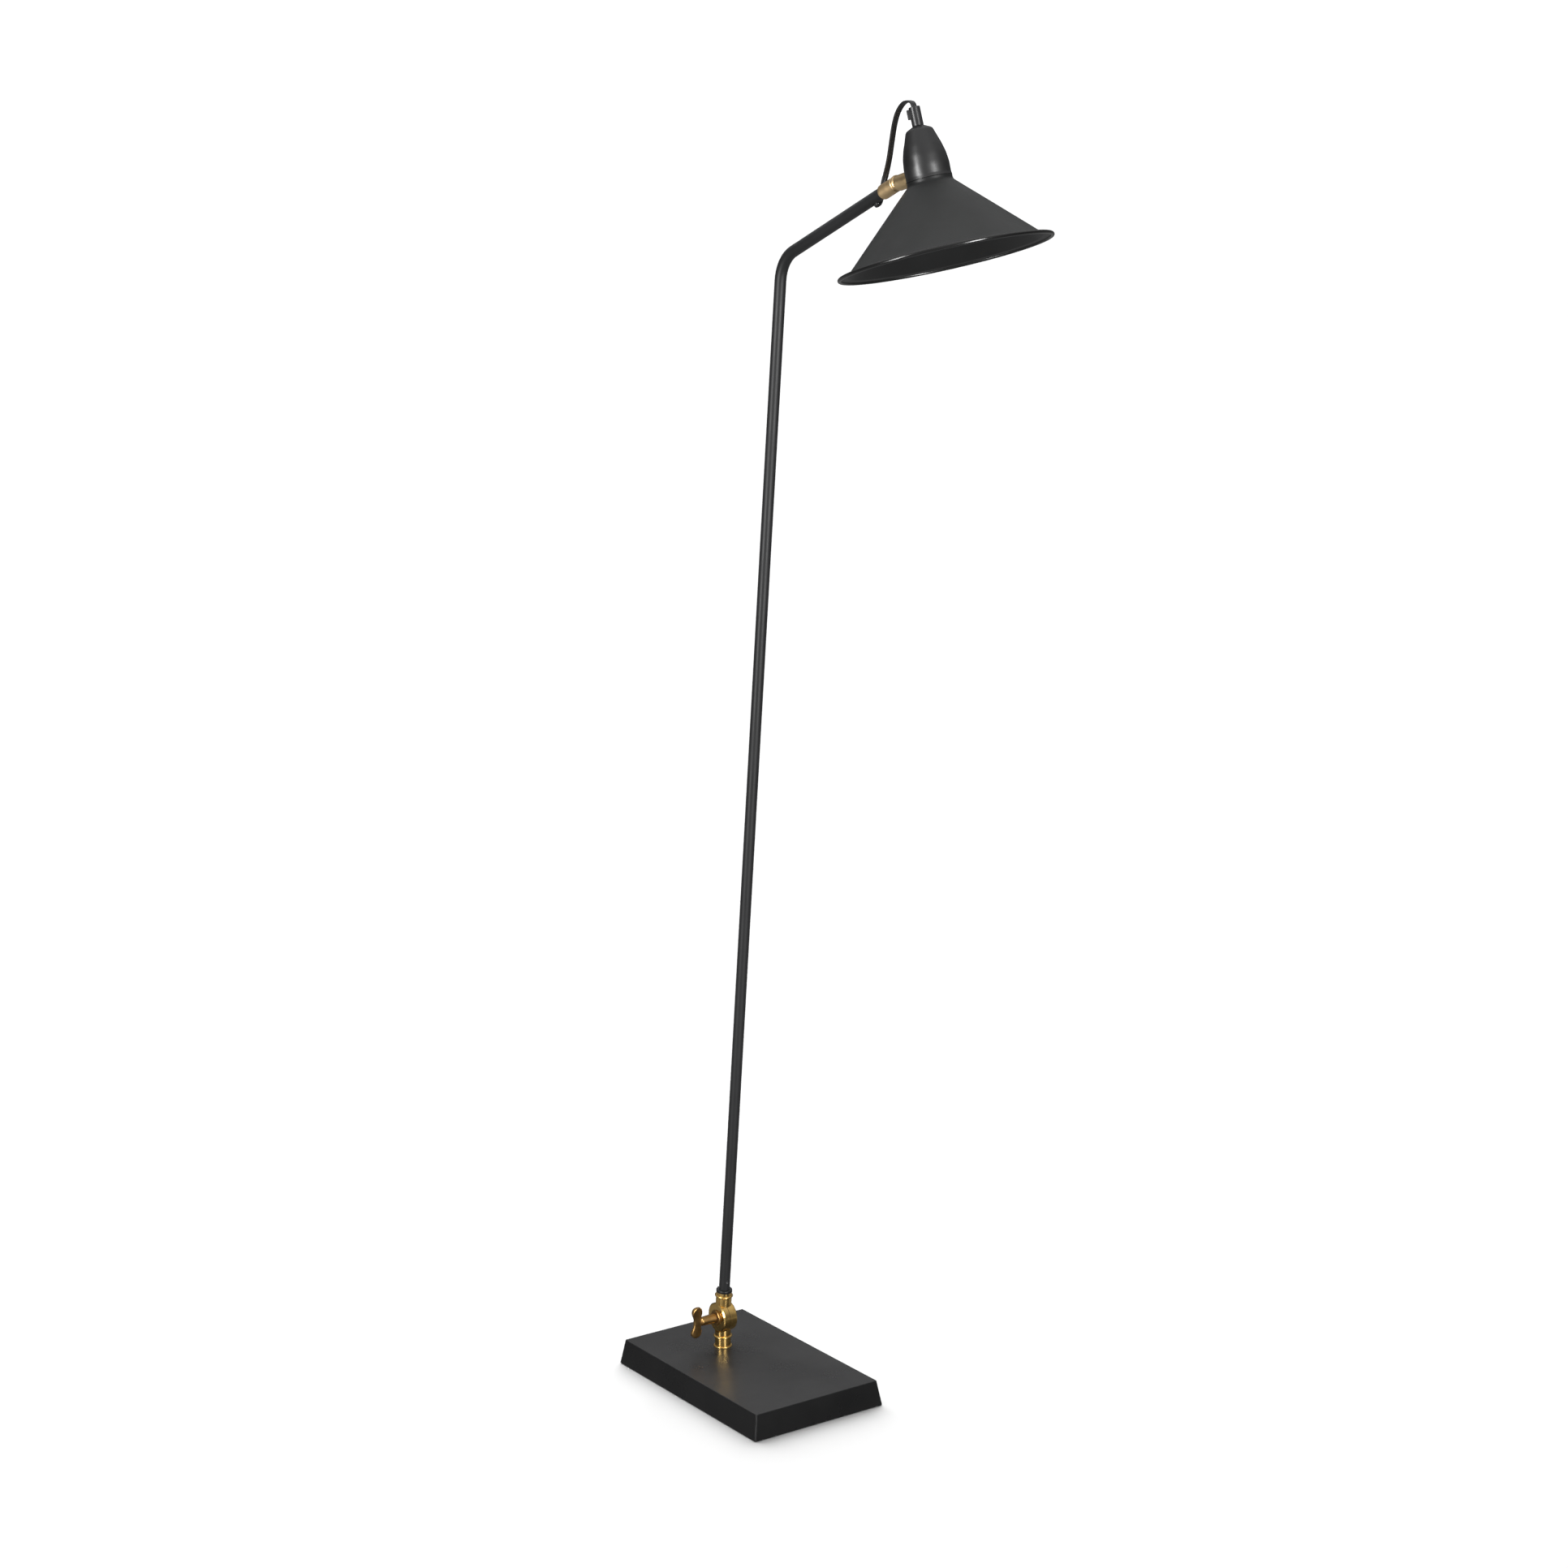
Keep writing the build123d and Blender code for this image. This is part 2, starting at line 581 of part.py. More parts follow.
with BuildPart() as tube_set_screw:
    with BuildSketch(Plane(origin=off(PIVOT, (45.2, STEM_D), (TUBE_R - 1.35, SET_DIR)), x_dir=STEM_D, z_dir=SET_DIR)):
        Circle(1.35)
    extrude(amount=1.75)
    with BuildSketch(Plane(origin=off(PIVOT, (45.2, STEM_D), (TUBE_R + 0.4, SET_DIR)), x_dir=STEM_D, z_dir=SET_DIR)):
        Rectangle(4, 0.5)
    extrude(amount=-0.5, mode=Mode.SUBTRACT)
tube_set_screw.part.label = "tube_set_screw"
export_step(tube_set_screw.part, "parts/tube_set_screw.step")

# ===========================================================================
# BALL JOINT
# ===========================================================================
e = SLEEVE_S - BALL_S                               # cup's open end, from the ball
with BuildPart() as ball_cup:
    with BuildSketch(arm_section()):
        with BuildLine():
            m = 1.9
            Polyline((e, 0), (e, CUP_R - 0.9), (e + 1.1, CUP_R - 0.15), (e + 3.0, CUP_R), (m - 0.9, CUP_R), (m, CUP_R - 0.6), (m, 0), (e, 0))
        make_face()
    revolve(axis=ARM_AX)
    # the ball's seat, the spring's bore and the tube's socket
    with BuildSketch(arm_section()):
        with BuildLine():
            Line((0, 0), (m + 2, 0))
            Line((m + 2, 0), (m + 2, BALL_R + 0.1))
            Line((m + 2, BALL_R + 0.1), (0, BALL_R + 0.1))
            Line((0, BALL_R + 0.1), (-8.4, BALL_R + 0.1))
            Line((-8.4, BALL_R + 0.1), (-8.4, 0))
            Line((-8.4, 0), (0, 0))
        make_face()
    revolve(axis=ARM_AX, mode=Mode.SUBTRACT)
    with BuildSketch(arm_plane(SLEEVE_S)):
        Circle(TUBE_R + 0.03)
    extrude(amount=12.0, mode=Mode.SUBTRACT)
ball_cup.part.label = "ball_cup"
export_step(ball_cup.part, "parts/ball_cup.step")

MOUTH = 46.0
mo = math.radians(MOUTH)
with BuildPart() as cup_ring:
    with BuildSketch(arm_section()):
        with BuildLine():
            x_out = math.sqrt(NEST_R ** 2 - (RING_R - 0.5) ** 2)
            p_in0 = (m + 0.02, math.sqrt((BALL_R + FIT) ** 2 - (m + 0.02) ** 2))
            p_in1 = ((BALL_R + FIT) * math.cos(mo), (BALL_R + FIT) * math.sin(mo))
            mid = math.radians(59)
            ThreePointArc(p_in0, ((BALL_R + FIT) * math.cos(mid), (BALL_R + FIT) * math.sin(mid)), p_in1)
            p_f0 = (NEST_R * math.cos(mo), NEST_R * math.sin(mo))
            Line(p_in1, p_f0)
            p_f1 = (x_out, RING_R - 0.5)
            am = 0.5 * (mo + math.asin((RING_R - 0.5) / NEST_R))
            ThreePointArc(p_f0, (NEST_R * math.cos(am), NEST_R * math.sin(am)), p_f1)
            ThreePointArc(p_f1, (0.5 * (x_out + m + 1.2), RING_R + 0.15), (m + 1.2, RING_R - 0.5))
            Line((m + 1.2, RING_R - 0.5), (m + 0.02, CUP_R - 0.6))
            Line((m + 0.02, CUP_R - 0.6), p_in0)
        make_face()
    revolve(axis=ARM_AX)
cup_ring.part.label = "cup_ring"
export_step(cup_ring.part, "parts/cup_ring.step")

with BuildPart() as friction_seat:
    with BuildSketch(arm_section()):
        with BuildLine():
            q = math.radians(38)
            rr = BALL_R + FIT
            Line((-6.9, 0), (-rr, 0))
            ThreePointArc((-rr, 0), (-rr * math.cos(q / 2), rr * math.sin(q / 2)), (-rr * math.cos(q), rr * math.sin(q)))
            Line((-rr * math.cos(q), rr * math.sin(q)), (-rr * math.cos(q) - 0.2, BALL_R))
            Line((-rr * math.cos(q) - 0.2, BALL_R), (-6.9, BALL_R))
            Line((-6.9, BALL_R), (-6.9, 0))
        make_face()
    revolve(axis=ARM_AX)
friction_seat.part.label = "friction_seat"
export_step(friction_seat.part, "parts/friction_seat.step")

with BuildPart() as seat_spring:
    with BuildSketch(arm_section()):
        with BuildLine():
            Polyline((-8.35, 5.9), (-7.35, 3.0), (-6.95, 3.0), (-7.95, 5.9), (-8.35, 5.9))
        make_face()
    revolve(axis=ARM_AX)
seat_spring.part.label = "seat_spring"
export_step(seat_spring.part, "parts/seat_spring.step")

WALL_IN = 21.0                                       # inside of the shade's neck
with BuildPart() as ball_stud:
    with BuildSketch(stud_section()):
        with BuildLine():
            al = math.asin(NECK_R / BALL_R)
            CenterArc((0, 0), BALL_R, math.degrees(al), 180 - math.degrees(al))
            px = BALL_R * math.cos(al)
            L = STUD_L - 16.85
            Line((px, NECK_R), (L, NECK_R))
            Line((L, NECK_R), (L, 0))
            Line((L, 0), (-BALL_R, 0))
        make_face()
    revolve(axis=STUD_AX)
ball_stud.part.label = "ball_stud"
export_step(ball_stud.part, "parts/ball_stud.step")

# ===========================================================================
# HEAD
# ===========================================================================
# cone: radius falls 1.049 for each millimetre of height, up to a short collar under the cap's foot
CONE_R0, CONE_K = 102.05, 1.049
NECK_OUT = 21.6
COLLAR_R = 23.35
COLLAR_TOP = SEAM_Z - 0.25
cone_top = (CONE_R0 - COLLAR_R) / CONE_K
LIP_Z = 1.9
NECK_TOP = SEAM_Z + 13.0
outer_pts = [(NECK_OUT, NECK_TOP), (NECK_OUT, COLLAR_TOP), (COLLAR_R, COLLAR_TOP), (COLLAR_R, cone_top), (CONE_R0 - CONE_K * LIP_Z, LIP_Z), (RIM_R, 0.75)]
slant = math.hypot(1.0, CONE_K) * SHADE_T                     # the wall measured level, on the cone
in_r0 = CONE_R0 - slant
lip_k = (0.75 - LIP_Z) / (RIM_R - outer_pts[4][0])            # the lip's slope
lip_z = LIP_Z - SHADE_T * math.hypot(1.0, lip_k)
corner_r = (in_r0 - CONE_K * (lip_z - lip_k * outer_pts[4][0])) / (1.0 + CONE_K * lip_k)
inner_pts = [
    (RIM_R, lip_z + lip_k * (RIM_R - outer_pts[4][0])),
    (corner_r, lip_z + lip_k * (corner_r - outer_pts[4][0])),
    (COLLAR_R - SHADE_T, (in_r0 - COLLAR_R + SHADE_T) / CONE_K),
    (COLLAR_R - SHADE_T, COLLAR_TOP - SHADE_T),
    (NECK_OUT - SHADE_T, COLLAR_TOP - SHADE_T),
    (NECK_OUT - SHADE_T, NECK_TOP),
]
with BuildPart() as shade:
    with BuildSketch(head_section()):
        with BuildLine():
            FilletPolyline(*outer_pts, radius=[0.3, 0.4, 5.0, 2.0])
            Line(outer_pts[-1], inner_pts[0])
            FilletPolyline(*inner_pts, radius=[3.0, 6.0, 0.4, 0.3])
            Line(inner_pts[-1], outer_pts[0])
        make_face()
        with Locations((RIM_R, 0)):
            Circle(BEAD_R)
    revolve(axis=HEAD_AX)
    # the stud's hole
    with BuildSketch(Plane(origin=FOOT, x_dir=YH, z_dir=tuple(-c for c in XH))):
        Circle(2.8)
    extrude(amount=30, mode=Mode.SUBTRACT)
shade.part.label = "shade"
export_step(shade.part, "parts/shade.step")

cap_pts = [(23.5, SEAM_Z), (23.0, SEAM_Z + 3.0), (23.2, 92.5), (21.9, 103.0), (19.4, 112.5), (13.6, 128.9), (5.2, CAP_TOP)]
with BuildPart() as shade_cap:
    with BuildSketch(head_section()):
        with BuildLine():
            FilletPolyline(*cap_pts, radius=[6.0, 40.0, 40.0, 30.0, 5.0])
            offset(amount=CAP_T, side=Side.LEFT)
        make_face()
    revolve(axis=HEAD_AX)
    with BuildSketch(head_plane(120.0)):
        Circle(5.05)
    extrude(amount=20.0, mode=Mode.SUBTRACT)
    with BuildSketch(Plane(origin=FOOT, x_dir=YH, z_dir=tuple(-c for c in XH))):
        Circle(2.8)
    extrude(amount=30, mode=Mode.SUBTRACT)
shade_cap.part.label = "shade_cap"
export_step(shade_cap.part, "parts/shade_cap.step")

# brass sleeve on the stud: hollow end nests over the ring, other end saddles the cap and neck
with BuildPart() as head_envelope:
    with BuildSketch(head_section()):
        with BuildLine():
            Polyline((0, 60), (CONE_R0 - CONE_K * 60 + 0.1, 60), (CONE_R0 - CONE_K * (cone_top - 3.5) + 0.1, cone_top - 3.5),
                     (23.65, cone_top + 2.2), (23.65, SEAM_Z + 1.0), (23.3, SEAM_Z + 4.0), (23.35, 92.5), (22.2, 103.0), (0, 103.0), (0, 60))
        make_face()
    revolve(axis=HEAD_AX)

with BuildPart() as stud_sleeve:
    with BuildSketch(stud_section()):
        with BuildLine():
            rn = NEST_R + 0.45
            rs = STUD_SLEEVE_R
            b0 = math.asin(2.75 / rn)
            b1 = math.asin((rs - 0.3) / rn)
            bm = 0.5 * (b0 + b1)
            ThreePointArc((rn * math.cos(b0), 2.75), (rn * math.cos(bm), rn * math.sin(bm)), (rn * math.cos(b1), rs - 0.3))
            Line((rn * math.cos(b1), rs - 0.3), (rn * math.cos(b1) + 0.9, rs))
            Line((rn * math.cos(b1) + 0.9, rs), (STUD_L - 15, rs))
            Line((STUD_L - 15, rs), (STUD_L - 15, 2.75))
            Line((STUD_L - 15, 2.75), (rn * math.cos(b0), 2.75))
        make_face()
    revolve(axis=STUD_AX)
    add(head_envelope.part, mode=Mode.SUBTRACT)
stud_sleeve.part.label = "stud_sleeve"
export_step(stud_sleeve.part, "parts/stud_sleeve.step")

with BuildPart() as stud_washer:
    with BuildSketch(stud_section()):
        with BuildLine():
            w0 = STUD_L - 20.05
            Polyline((w0, 2.75), (w0, 4.5), (w0 + 0.8, 4.5), (w0 + 0.8, 2.75), (w0, 2.75))
        make_face()
    revolve(axis=STUD_AX)
stud_washer.part.label = "stud_washer"
export_step(stud_washer.part, "parts/stud_washer.step")

with BuildPart() as stud_nut:
    with BuildSketch(Plane(origin=off(BALL, (w0 + 0.82, XH)), x_dir=YH, z_dir=XH)):
        RegularPolygon(4.0, 6, major_radius=False)
        Circle(NECK_R + 0.02, mode=Mode.SUBTRACT)
    extrude(amount=2.3)
stud_nut.part.label = "stud_nut"
export_step(stud_nut.part, "parts/stud_nut.step")

# --- cord grip on top of the cap, on a short threaded pipe
with BuildPart() as cap_nipple:
    with BuildSketch(head_plane(122.0)):
        Circle(4.95)
        Circle(3.6, mode=Mode.SUBTRACT)
    extrude(amount=17.5)
cap_nipple.part.label = "cap_nipple"
export_step(cap_nipple.part, "parts/cap_nipple.step")

with BuildPart() as nipple_nut:
    with BuildSketch(head_plane(126.55)):
        RegularPolygon(7.0, 6, major_radius=False)
        Circle(4.97, mode=Mode.SUBTRACT)
    extrude(amount=3.0)
nipple_nut.part.label = "nipple_nut"
export_step(nipple_nut.part, "parts/nipple_nut.step")

GRIP_FOOT = CAP_TOP + 0.05
TAB_A = 234.0
ta = math.radians(TAB_A)
with BuildPart() as cord_grip:
    with BuildSketch(head_plane(GRIP_FOOT)):
        Circle(GRIP_R)
    extrude(amount=GRIP_TOP - GRIP_FOOT)
    fillet(cord_grip.faces().sort_by(HEAD_AX)[-1].edges(), radius=0.5)
    with BuildSketch(head_plane(GRIP_FOOT)):
        Circle(4.97)
    extrude(amount=8.2, mode=Mode.SUBTRACT)
    # flat hole for the flat cord
    with BuildSketch(Plane(origin=head_at(0, 0, GRIP_FOOT + 8.2), x_dir=YH, z_dir=ZH)):
        SlotOverall(6.6, 3.2)
    extrude(amount=20, mode=Mode.SUBTRACT)
    # window for the clamp block in the side wall
    with BuildSketch(Plane(origin=head_at(0, 0, GRIP_TOP - 6.7), x_dir=(-math.sin(ta) * XH[0] + math.cos(ta) * YH[0], -math.sin(ta) * XH[1] + math.cos(ta) * YH[1], -math.sin(ta) * XH[2] + math.cos(ta) * YH[2]), z_dir=off((0, 0, 0), (math.cos(ta), XH), (math.sin(ta), YH)))):
        RectangleRounded(4.4, 10.0, 1.2)
    extrude(amount=8, mode=Mode.SUBTRACT)
cord_grip.part.label = "cord_grip"
export_step(cord_grip.part, "parts/cord_grip.step")

TAB_OUT = off((0, 0, 0), (math.cos(ta), XH), (math.sin(ta), YH))
TAB_SIDE = off((0, 0, 0), (-math.sin(ta), XH), (math.cos(ta), YH))
with BuildPart() as grip_clamp:
    with BuildSketch(Plane(origin=head_at(2.75 * math.cos(ta), 2.75 * math.sin(ta), GRIP_TOP - 6.7), x_dir=TAB_SIDE, z_dir=TAB_OUT)):
        RectangleRounded(4.2, 9.8, 1.1)
    extrude(amount=GRIP_R + 2.6 - 2.75)
    fillet(grip_clamp.faces().sort_by(Axis(RIM_C, TAB_OUT))[-1].edges(), radius=0.8)
grip_clamp.part.label = "grip_clamp"
export_step(grip_clamp.part, "parts/grip_clamp.step")

# --- lampholder hung from the pipe
with BuildPart() as lampholder_dome:
    with BuildSketch(head_section()):
        with BuildLine():
            Polyline((0, 108.0), (HOLDER_R, 108.0), (HOLDER_R, 112.5), (12.5, 121.5), (9.0, 126.5), (0, 126.5), (0, 108.0))
        make_face()
    revolve(axis=HEAD_AX)
    with BuildSketch(head_section()):
        with BuildLine():
            Polyline((0, 107.0), (HOLDER_R - 1.8, 107.0), (HOLDER_R - 1.8, 111.6), (11.0, 119.8), (0, 119.8), (0, 107.0))
        make_face()
    revolve(axis=HEAD_AX, mode=Mode.SUBTRACT)
    with BuildSketch(head_plane(119.0)):
        Circle(4.97)
    extrude(amount=10, mode=Mode.SUBTRACT)
lampholder_dome.part.label = "lampholder_dome"
export_step(lampholder_dome.part, "parts/lampholder_dome.step")

HOLDER_LOW = 75.0
with BuildPart() as lampholder_body:
    with BuildSketch(head_plane(HOLDER_LOW)):
        Circle(HOLDER_R)
        Circle(14.25, mode=Mode.SUBTRACT)
    extrude(amount=107.9 - HOLDER_LOW)
    with BuildSketch(head_plane(102.5)):
        Circle(14.6)
    extrude(amount=4.5)
    fillet(lampholder_body.faces().sort_by(HEAD_AX)[0].outer_wire().edges(), radius=0.8)
    with BuildSketch(head_plane(102.0)):
        with Locations((8.0, 0), (-8.0, 0)):
            Circle(1.75)
        Circle(1.6)
    extrude(amount=6.5, mode=Mode.SUBTRACT)
lampholder_body.part.label = "lampholder_body"
export_step(lampholder_body.part, "parts/lampholder_body.step")

with BuildPart() as screw_shell:
    with BuildSketch(head_plane(HOLDER_LOW + 1.5)):
        Circle(14.2)
        Circle(SHELL_R, mode=Mode.SUBTRACT)
    extrude(amount=24.5)
screw_shell.part.label = "screw_shell"
export_step(screw_shell.part, "parts/screw_shell.step")

with BuildPart() as centre_contact:
    with BuildSketch(Plane(origin=RIM_C, x_dir=XH, z_dir=tuple(-c for c in YH))):
        with BuildLine():
            Polyline((-5.2, 102.4), (-5.2, 101.85), (4.8, 101.15), (5.1, 101.7), (-2.6, 102.4), (-5.2, 102.4))
        make_face()
    extrude(amount=2.6, both=True)
centre_contact.part.label = "centre_contact"
export_step(centre_contact.part, "parts/centre_contact.step")

with BuildPart() as holder_terminals:
    with BuildSketch(head_plane(102.6)):
        with Locations((8.0, 0), (-8.0, 0)):
            Circle(1.7)
    extrude(amount=6.4)
    with BuildSketch(head_plane(107.0)):
        with Locations((8.0, 0), (-8.0, 0)):
            Circle(2.9)
    extrude(amount=2.0)
holder_terminals.part.label = "holder_terminals"
export_step(holder_terminals.part, "parts/holder_terminals.step")

# two cores from the grip down to the terminals
with BuildPart() as holder_leads:
    for sx in (1, -1):
        p = [head_at(sx * 1.05, 0, GRIP_TOP - 13.0), head_at(sx * 1.05, 0, 121.0), head_at(sx * 3.2, 0.2, 115.0), head_at(sx * 8.0, 0, 113.2), head_at(sx * 8.0, 0, 109.05)]
        with BuildLine():
            FilletPolyline(*p, radius=[2.4, 1.9, 1.6])
        with BuildSketch(Plane(origin=p[0], x_dir=XH, z_dir=tuple(-c for c in ZH))):
            Circle(0.95)
        sweep()
holder_leads.part.label = "holder_leads"
export_step(holder_leads.part, "parts/holder_leads.step")

# ===========================================================================
# CORD
# ===========================================================================
def cord_radii(pts):
    out = []
    for i in range(1, len(pts) - 1):
        a = Vector(*pts[i]) - Vector(*pts[i - 1])
        b = Vector(*pts[i + 1]) - Vector(*pts[i])
        half = math.radians(a.get_angle(b)) / 2
        out.append(0.45 * min(a.length, b.length) / math.tan(half))
    return out


def path_length(line):
    return sum(e.length for e in line.edges())


# loop from the grip over to the arm: leaves up the head's axis, falls behind the brass cup,
# goes under the arm and up through the slot
CORD_PTS = [
    head_at(0, 0, GRIP_TOP),
    head_at(0, 0, GRIP_TOP + 4.5),
    (290.5, -3.8, 1459.8),
    (280.9, -3.2, 1458.9),
    (269.7, -2.2, 1449.9),
    (261.9, -0.6, 1437.0),
    (253.8, 2.4, 1418.7),
    (244.3, 6.2, 1398.6),
    arm_at(181.0, 9.2, 9.0),
    arm_at(176.4, 8.4, 1.0),
    arm_at(175.6, 8.1, -3.6),
    arm_at(175.5, 4.2, -8.0),
    arm_at(175.5, 0.3, -8.2),
    arm_at(175.8, 0.0, -3.4),
]
rr_list = cord_radii(CORD_PTS)
print("cord radii", [round(r, 2) for r in rr_list])
print("cord runs", [round((Vector(*CORD_PTS[i + 1]) - Vector(*CORD_PTS[i])).length, 1) for i in range(len(CORD_PTS) - 1)])
print("cord points m", [tuple(round(c / 1000, 5) for c in p) for p in CORD_PTS])
with BuildPart() as head_cord:
    with BuildLine() as cord_line:
        FilletPolyline(*CORD_PTS, radius=rr_list)
    with BuildSketch(Plane(origin=CORD_PTS[0], x_dir=XH, z_dir=ZH)):
        Circle(CORD_R)
    sweep()
print("cord length", round(path_length(cord_line.line), 1), "volume", round(head_cord.part.volume, 1), "expected", round(math.pi * CORD_R ** 2 * path_length(cord_line.line), 1))
head_cord.part.label = "head_cord"
export_step(head_cord.part, "parts/head_cord.step")

# the length of cord held inside the grip
with BuildPart() as grip_cord:
    with BuildSketch(Plane(origin=head_at(0, 0, GRIP_TOP - 12.9), x_dir=YH, z_dir=ZH)):
        SlotOverall(6.0, 2.6)
    extrude(amount=12.88)
grip_cord.part.label = "grip_cord"
export_step(grip_cord.part, "parts/grip_cord.step")

# cord inside the arm and the stem, down to the knuckle
STEM_WIRE_LOW = 17.0
with BuildPart() as arm_cable:
    with BuildLine() as in_line:
        FilletPolyline(arm_at(EXIT_S, 0, -3.2), arm_at(EXIT_S, 0, 0), CORNER, off(PIVOT, (60.0, STEM_D)), off(PIVOT, (40.0, STEM_D), (-1.6, YD)), off(PIVOT, (26.0, STEM_D), (-3.25, YD)), off(PIVOT, (STEM_WIRE_LOW, STEM_D), (-3.25, YD)), radius=[3.1, BEND_R, 30.0, 30.0, 20.0])
    with BuildSketch(Plane(origin=arm_at(EXIT_S, 0, -3.2), x_dir=(0, 1, 0), z_dir=ARM_N)):
        Circle(WIRE_R)
    sweep()
print("arm cable length", round(path_length(in_line.line), 1), "volume", round(arm_cable.part.volume, 1), "expected", round(math.pi * WIRE_R ** 2 * path_length(in_line.line), 1))
arm_cable.part.label = "arm_cable"
export_step(arm_cable.part, "parts/arm_cable.step")

# slack loop round the spigot inside the knuckle
def kn(x, y, z):
    return (STEM_X + x, y, PIVOT_Z + z)


low_end = kn(0, 1.5, -20.0)
KN_PTS = [
    low_end,
    kn(0, 1.5, -12.0),
    kn(8.9, 0.5, -5.2),
    kn(8.9, -2.2, 5.4),
    off(PIVOT, (12.0, STEM_D), (-3.25, YD)),
    off(PIVOT, (STEM_WIRE_LOW, STEM_D), (-3.25, YD)),
]
kr = cord_radii(KN_PTS)
print("knuckle wire radii", [round(r, 2) for r in kr])
with BuildPart() as knuckle_wire:
    with BuildLine() as kn_line:
        FilletPolyline(*KN_PTS, radius=kr)
    with BuildSketch(Plane(origin=low_end, x_dir=(1, 0, 0), z_dir=(0, 0, 1))):
        Circle(WIRE_R)
    sweep()
knuckle_wire.part.label = "knuckle_wire"
export_step(knuckle_wire.part, "parts/knuckle_wire.step")

# from the terminal block up through the pipe
BASE_WIRE = [
    (-85.9, 4.5, 8.0),
    (-72.0, 4.0, 8.0),
    (STEM_X - 0.0, 0.0, 8.0),
    (STEM_X, 0.0, 27.0),
    (STEM_X, 1.5, 37.0),
    (STEM_X, 1.5, PIVOT_Z - 20.0),
]
br = [10.0, 7.0, 20.0, 20.0]
with BuildPart() as base_cable:
    with BuildLine() as base_line:
        FilletPolyline(*BASE_WIRE, radius=br)
    with BuildSketch(Plane(origin=BASE_WIRE[0], x_dir=(0, 1, 0), z_dir=unit(off(BASE_WIRE[1], (-1, BASE_WIRE[0]))))):
        Circle(WIRE_R)
    sweep()
base_cable.part.label = "base_cable"
export_step(base_cable.part, "parts/base_cable.step")
print("mount shell", head_at(0, 0, HOLDER_LOW + 1.5 + 12.25), "axis", tuple(-c for c in ZH))
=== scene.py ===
import math

import bmesh
import bpy
from mathutils import Matrix, Vector


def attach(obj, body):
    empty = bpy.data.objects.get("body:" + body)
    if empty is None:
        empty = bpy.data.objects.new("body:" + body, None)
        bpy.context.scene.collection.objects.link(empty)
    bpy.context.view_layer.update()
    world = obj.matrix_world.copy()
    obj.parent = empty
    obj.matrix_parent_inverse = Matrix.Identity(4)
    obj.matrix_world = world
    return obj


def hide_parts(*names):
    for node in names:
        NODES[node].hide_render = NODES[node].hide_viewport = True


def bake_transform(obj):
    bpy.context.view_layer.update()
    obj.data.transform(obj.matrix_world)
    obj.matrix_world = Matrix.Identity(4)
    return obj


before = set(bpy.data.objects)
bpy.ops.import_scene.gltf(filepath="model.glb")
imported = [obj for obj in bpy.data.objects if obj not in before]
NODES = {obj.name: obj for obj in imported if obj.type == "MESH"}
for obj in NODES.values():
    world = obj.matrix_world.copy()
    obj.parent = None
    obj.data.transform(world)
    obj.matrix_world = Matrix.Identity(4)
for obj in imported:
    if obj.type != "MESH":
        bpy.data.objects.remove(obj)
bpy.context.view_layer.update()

scene = bpy.context.scene

# ---------------------------------------------------------------------------
# axes and places of the lamp, in the row frame
# ---------------------------------------------------------------------------
UP = Vector((0, 0, 1))
Y = Vector((0, 1, 0))
PIVOT = Vector((-0.0538, 0.0, 0.0666))
LEAN = math.radians(5.56)
STEM_D = Vector((math.sin(LEAN), 0, math.cos(LEAN)))
CORNER = Vector((0.065944, 0, 1.296685))
ARM_UP = math.radians(22.35)
ARM_D = Vector((math.cos(ARM_UP), 0, math.sin(ARM_UP)))
ARM_N = Vector((-math.sin(ARM_UP), 0, math.cos(ARM_UP)))
BALL = Vector((0.2632205, 0.0, 1.3777956))
RIM_C = Vector((0.3367, 0.0078, 1.3073))
ZH = Vector((-0.243835, -0.083721, 0.966196)).normalized()
XH = Vector((0.969344, 0.010053, 0.245500)).normalized()
YH = ZH.cross(XH)


def head_at(x, y, z):
    return RIM_C + XH * x + YH * y + ZH * z


# ---------------------------------------------------------------------------
# camera
# ---------------------------------------------------------------------------
cam_data = bpy.data.cameras.new("camera")
cam_data.lens = 71.92
cam_data.sensor_width = 36
cam_data.sensor_fit = "HORIZONTAL"
cam_data.clip_start = 0.1
cam_data.clip_end = 200
cam = bpy.data.objects.new("camera", cam_data)
scene.collection.objects.link(cam)
cam.location = (2.8144, -1.9529, 1.4455)
cam.rotation_euler = (math.radians(90 - 12.04), 0, math.atan2(0.815, 0.580))
scene.camera = cam

# ---------------------------------------------------------------------------
# node helpers
# ---------------------------------------------------------------------------


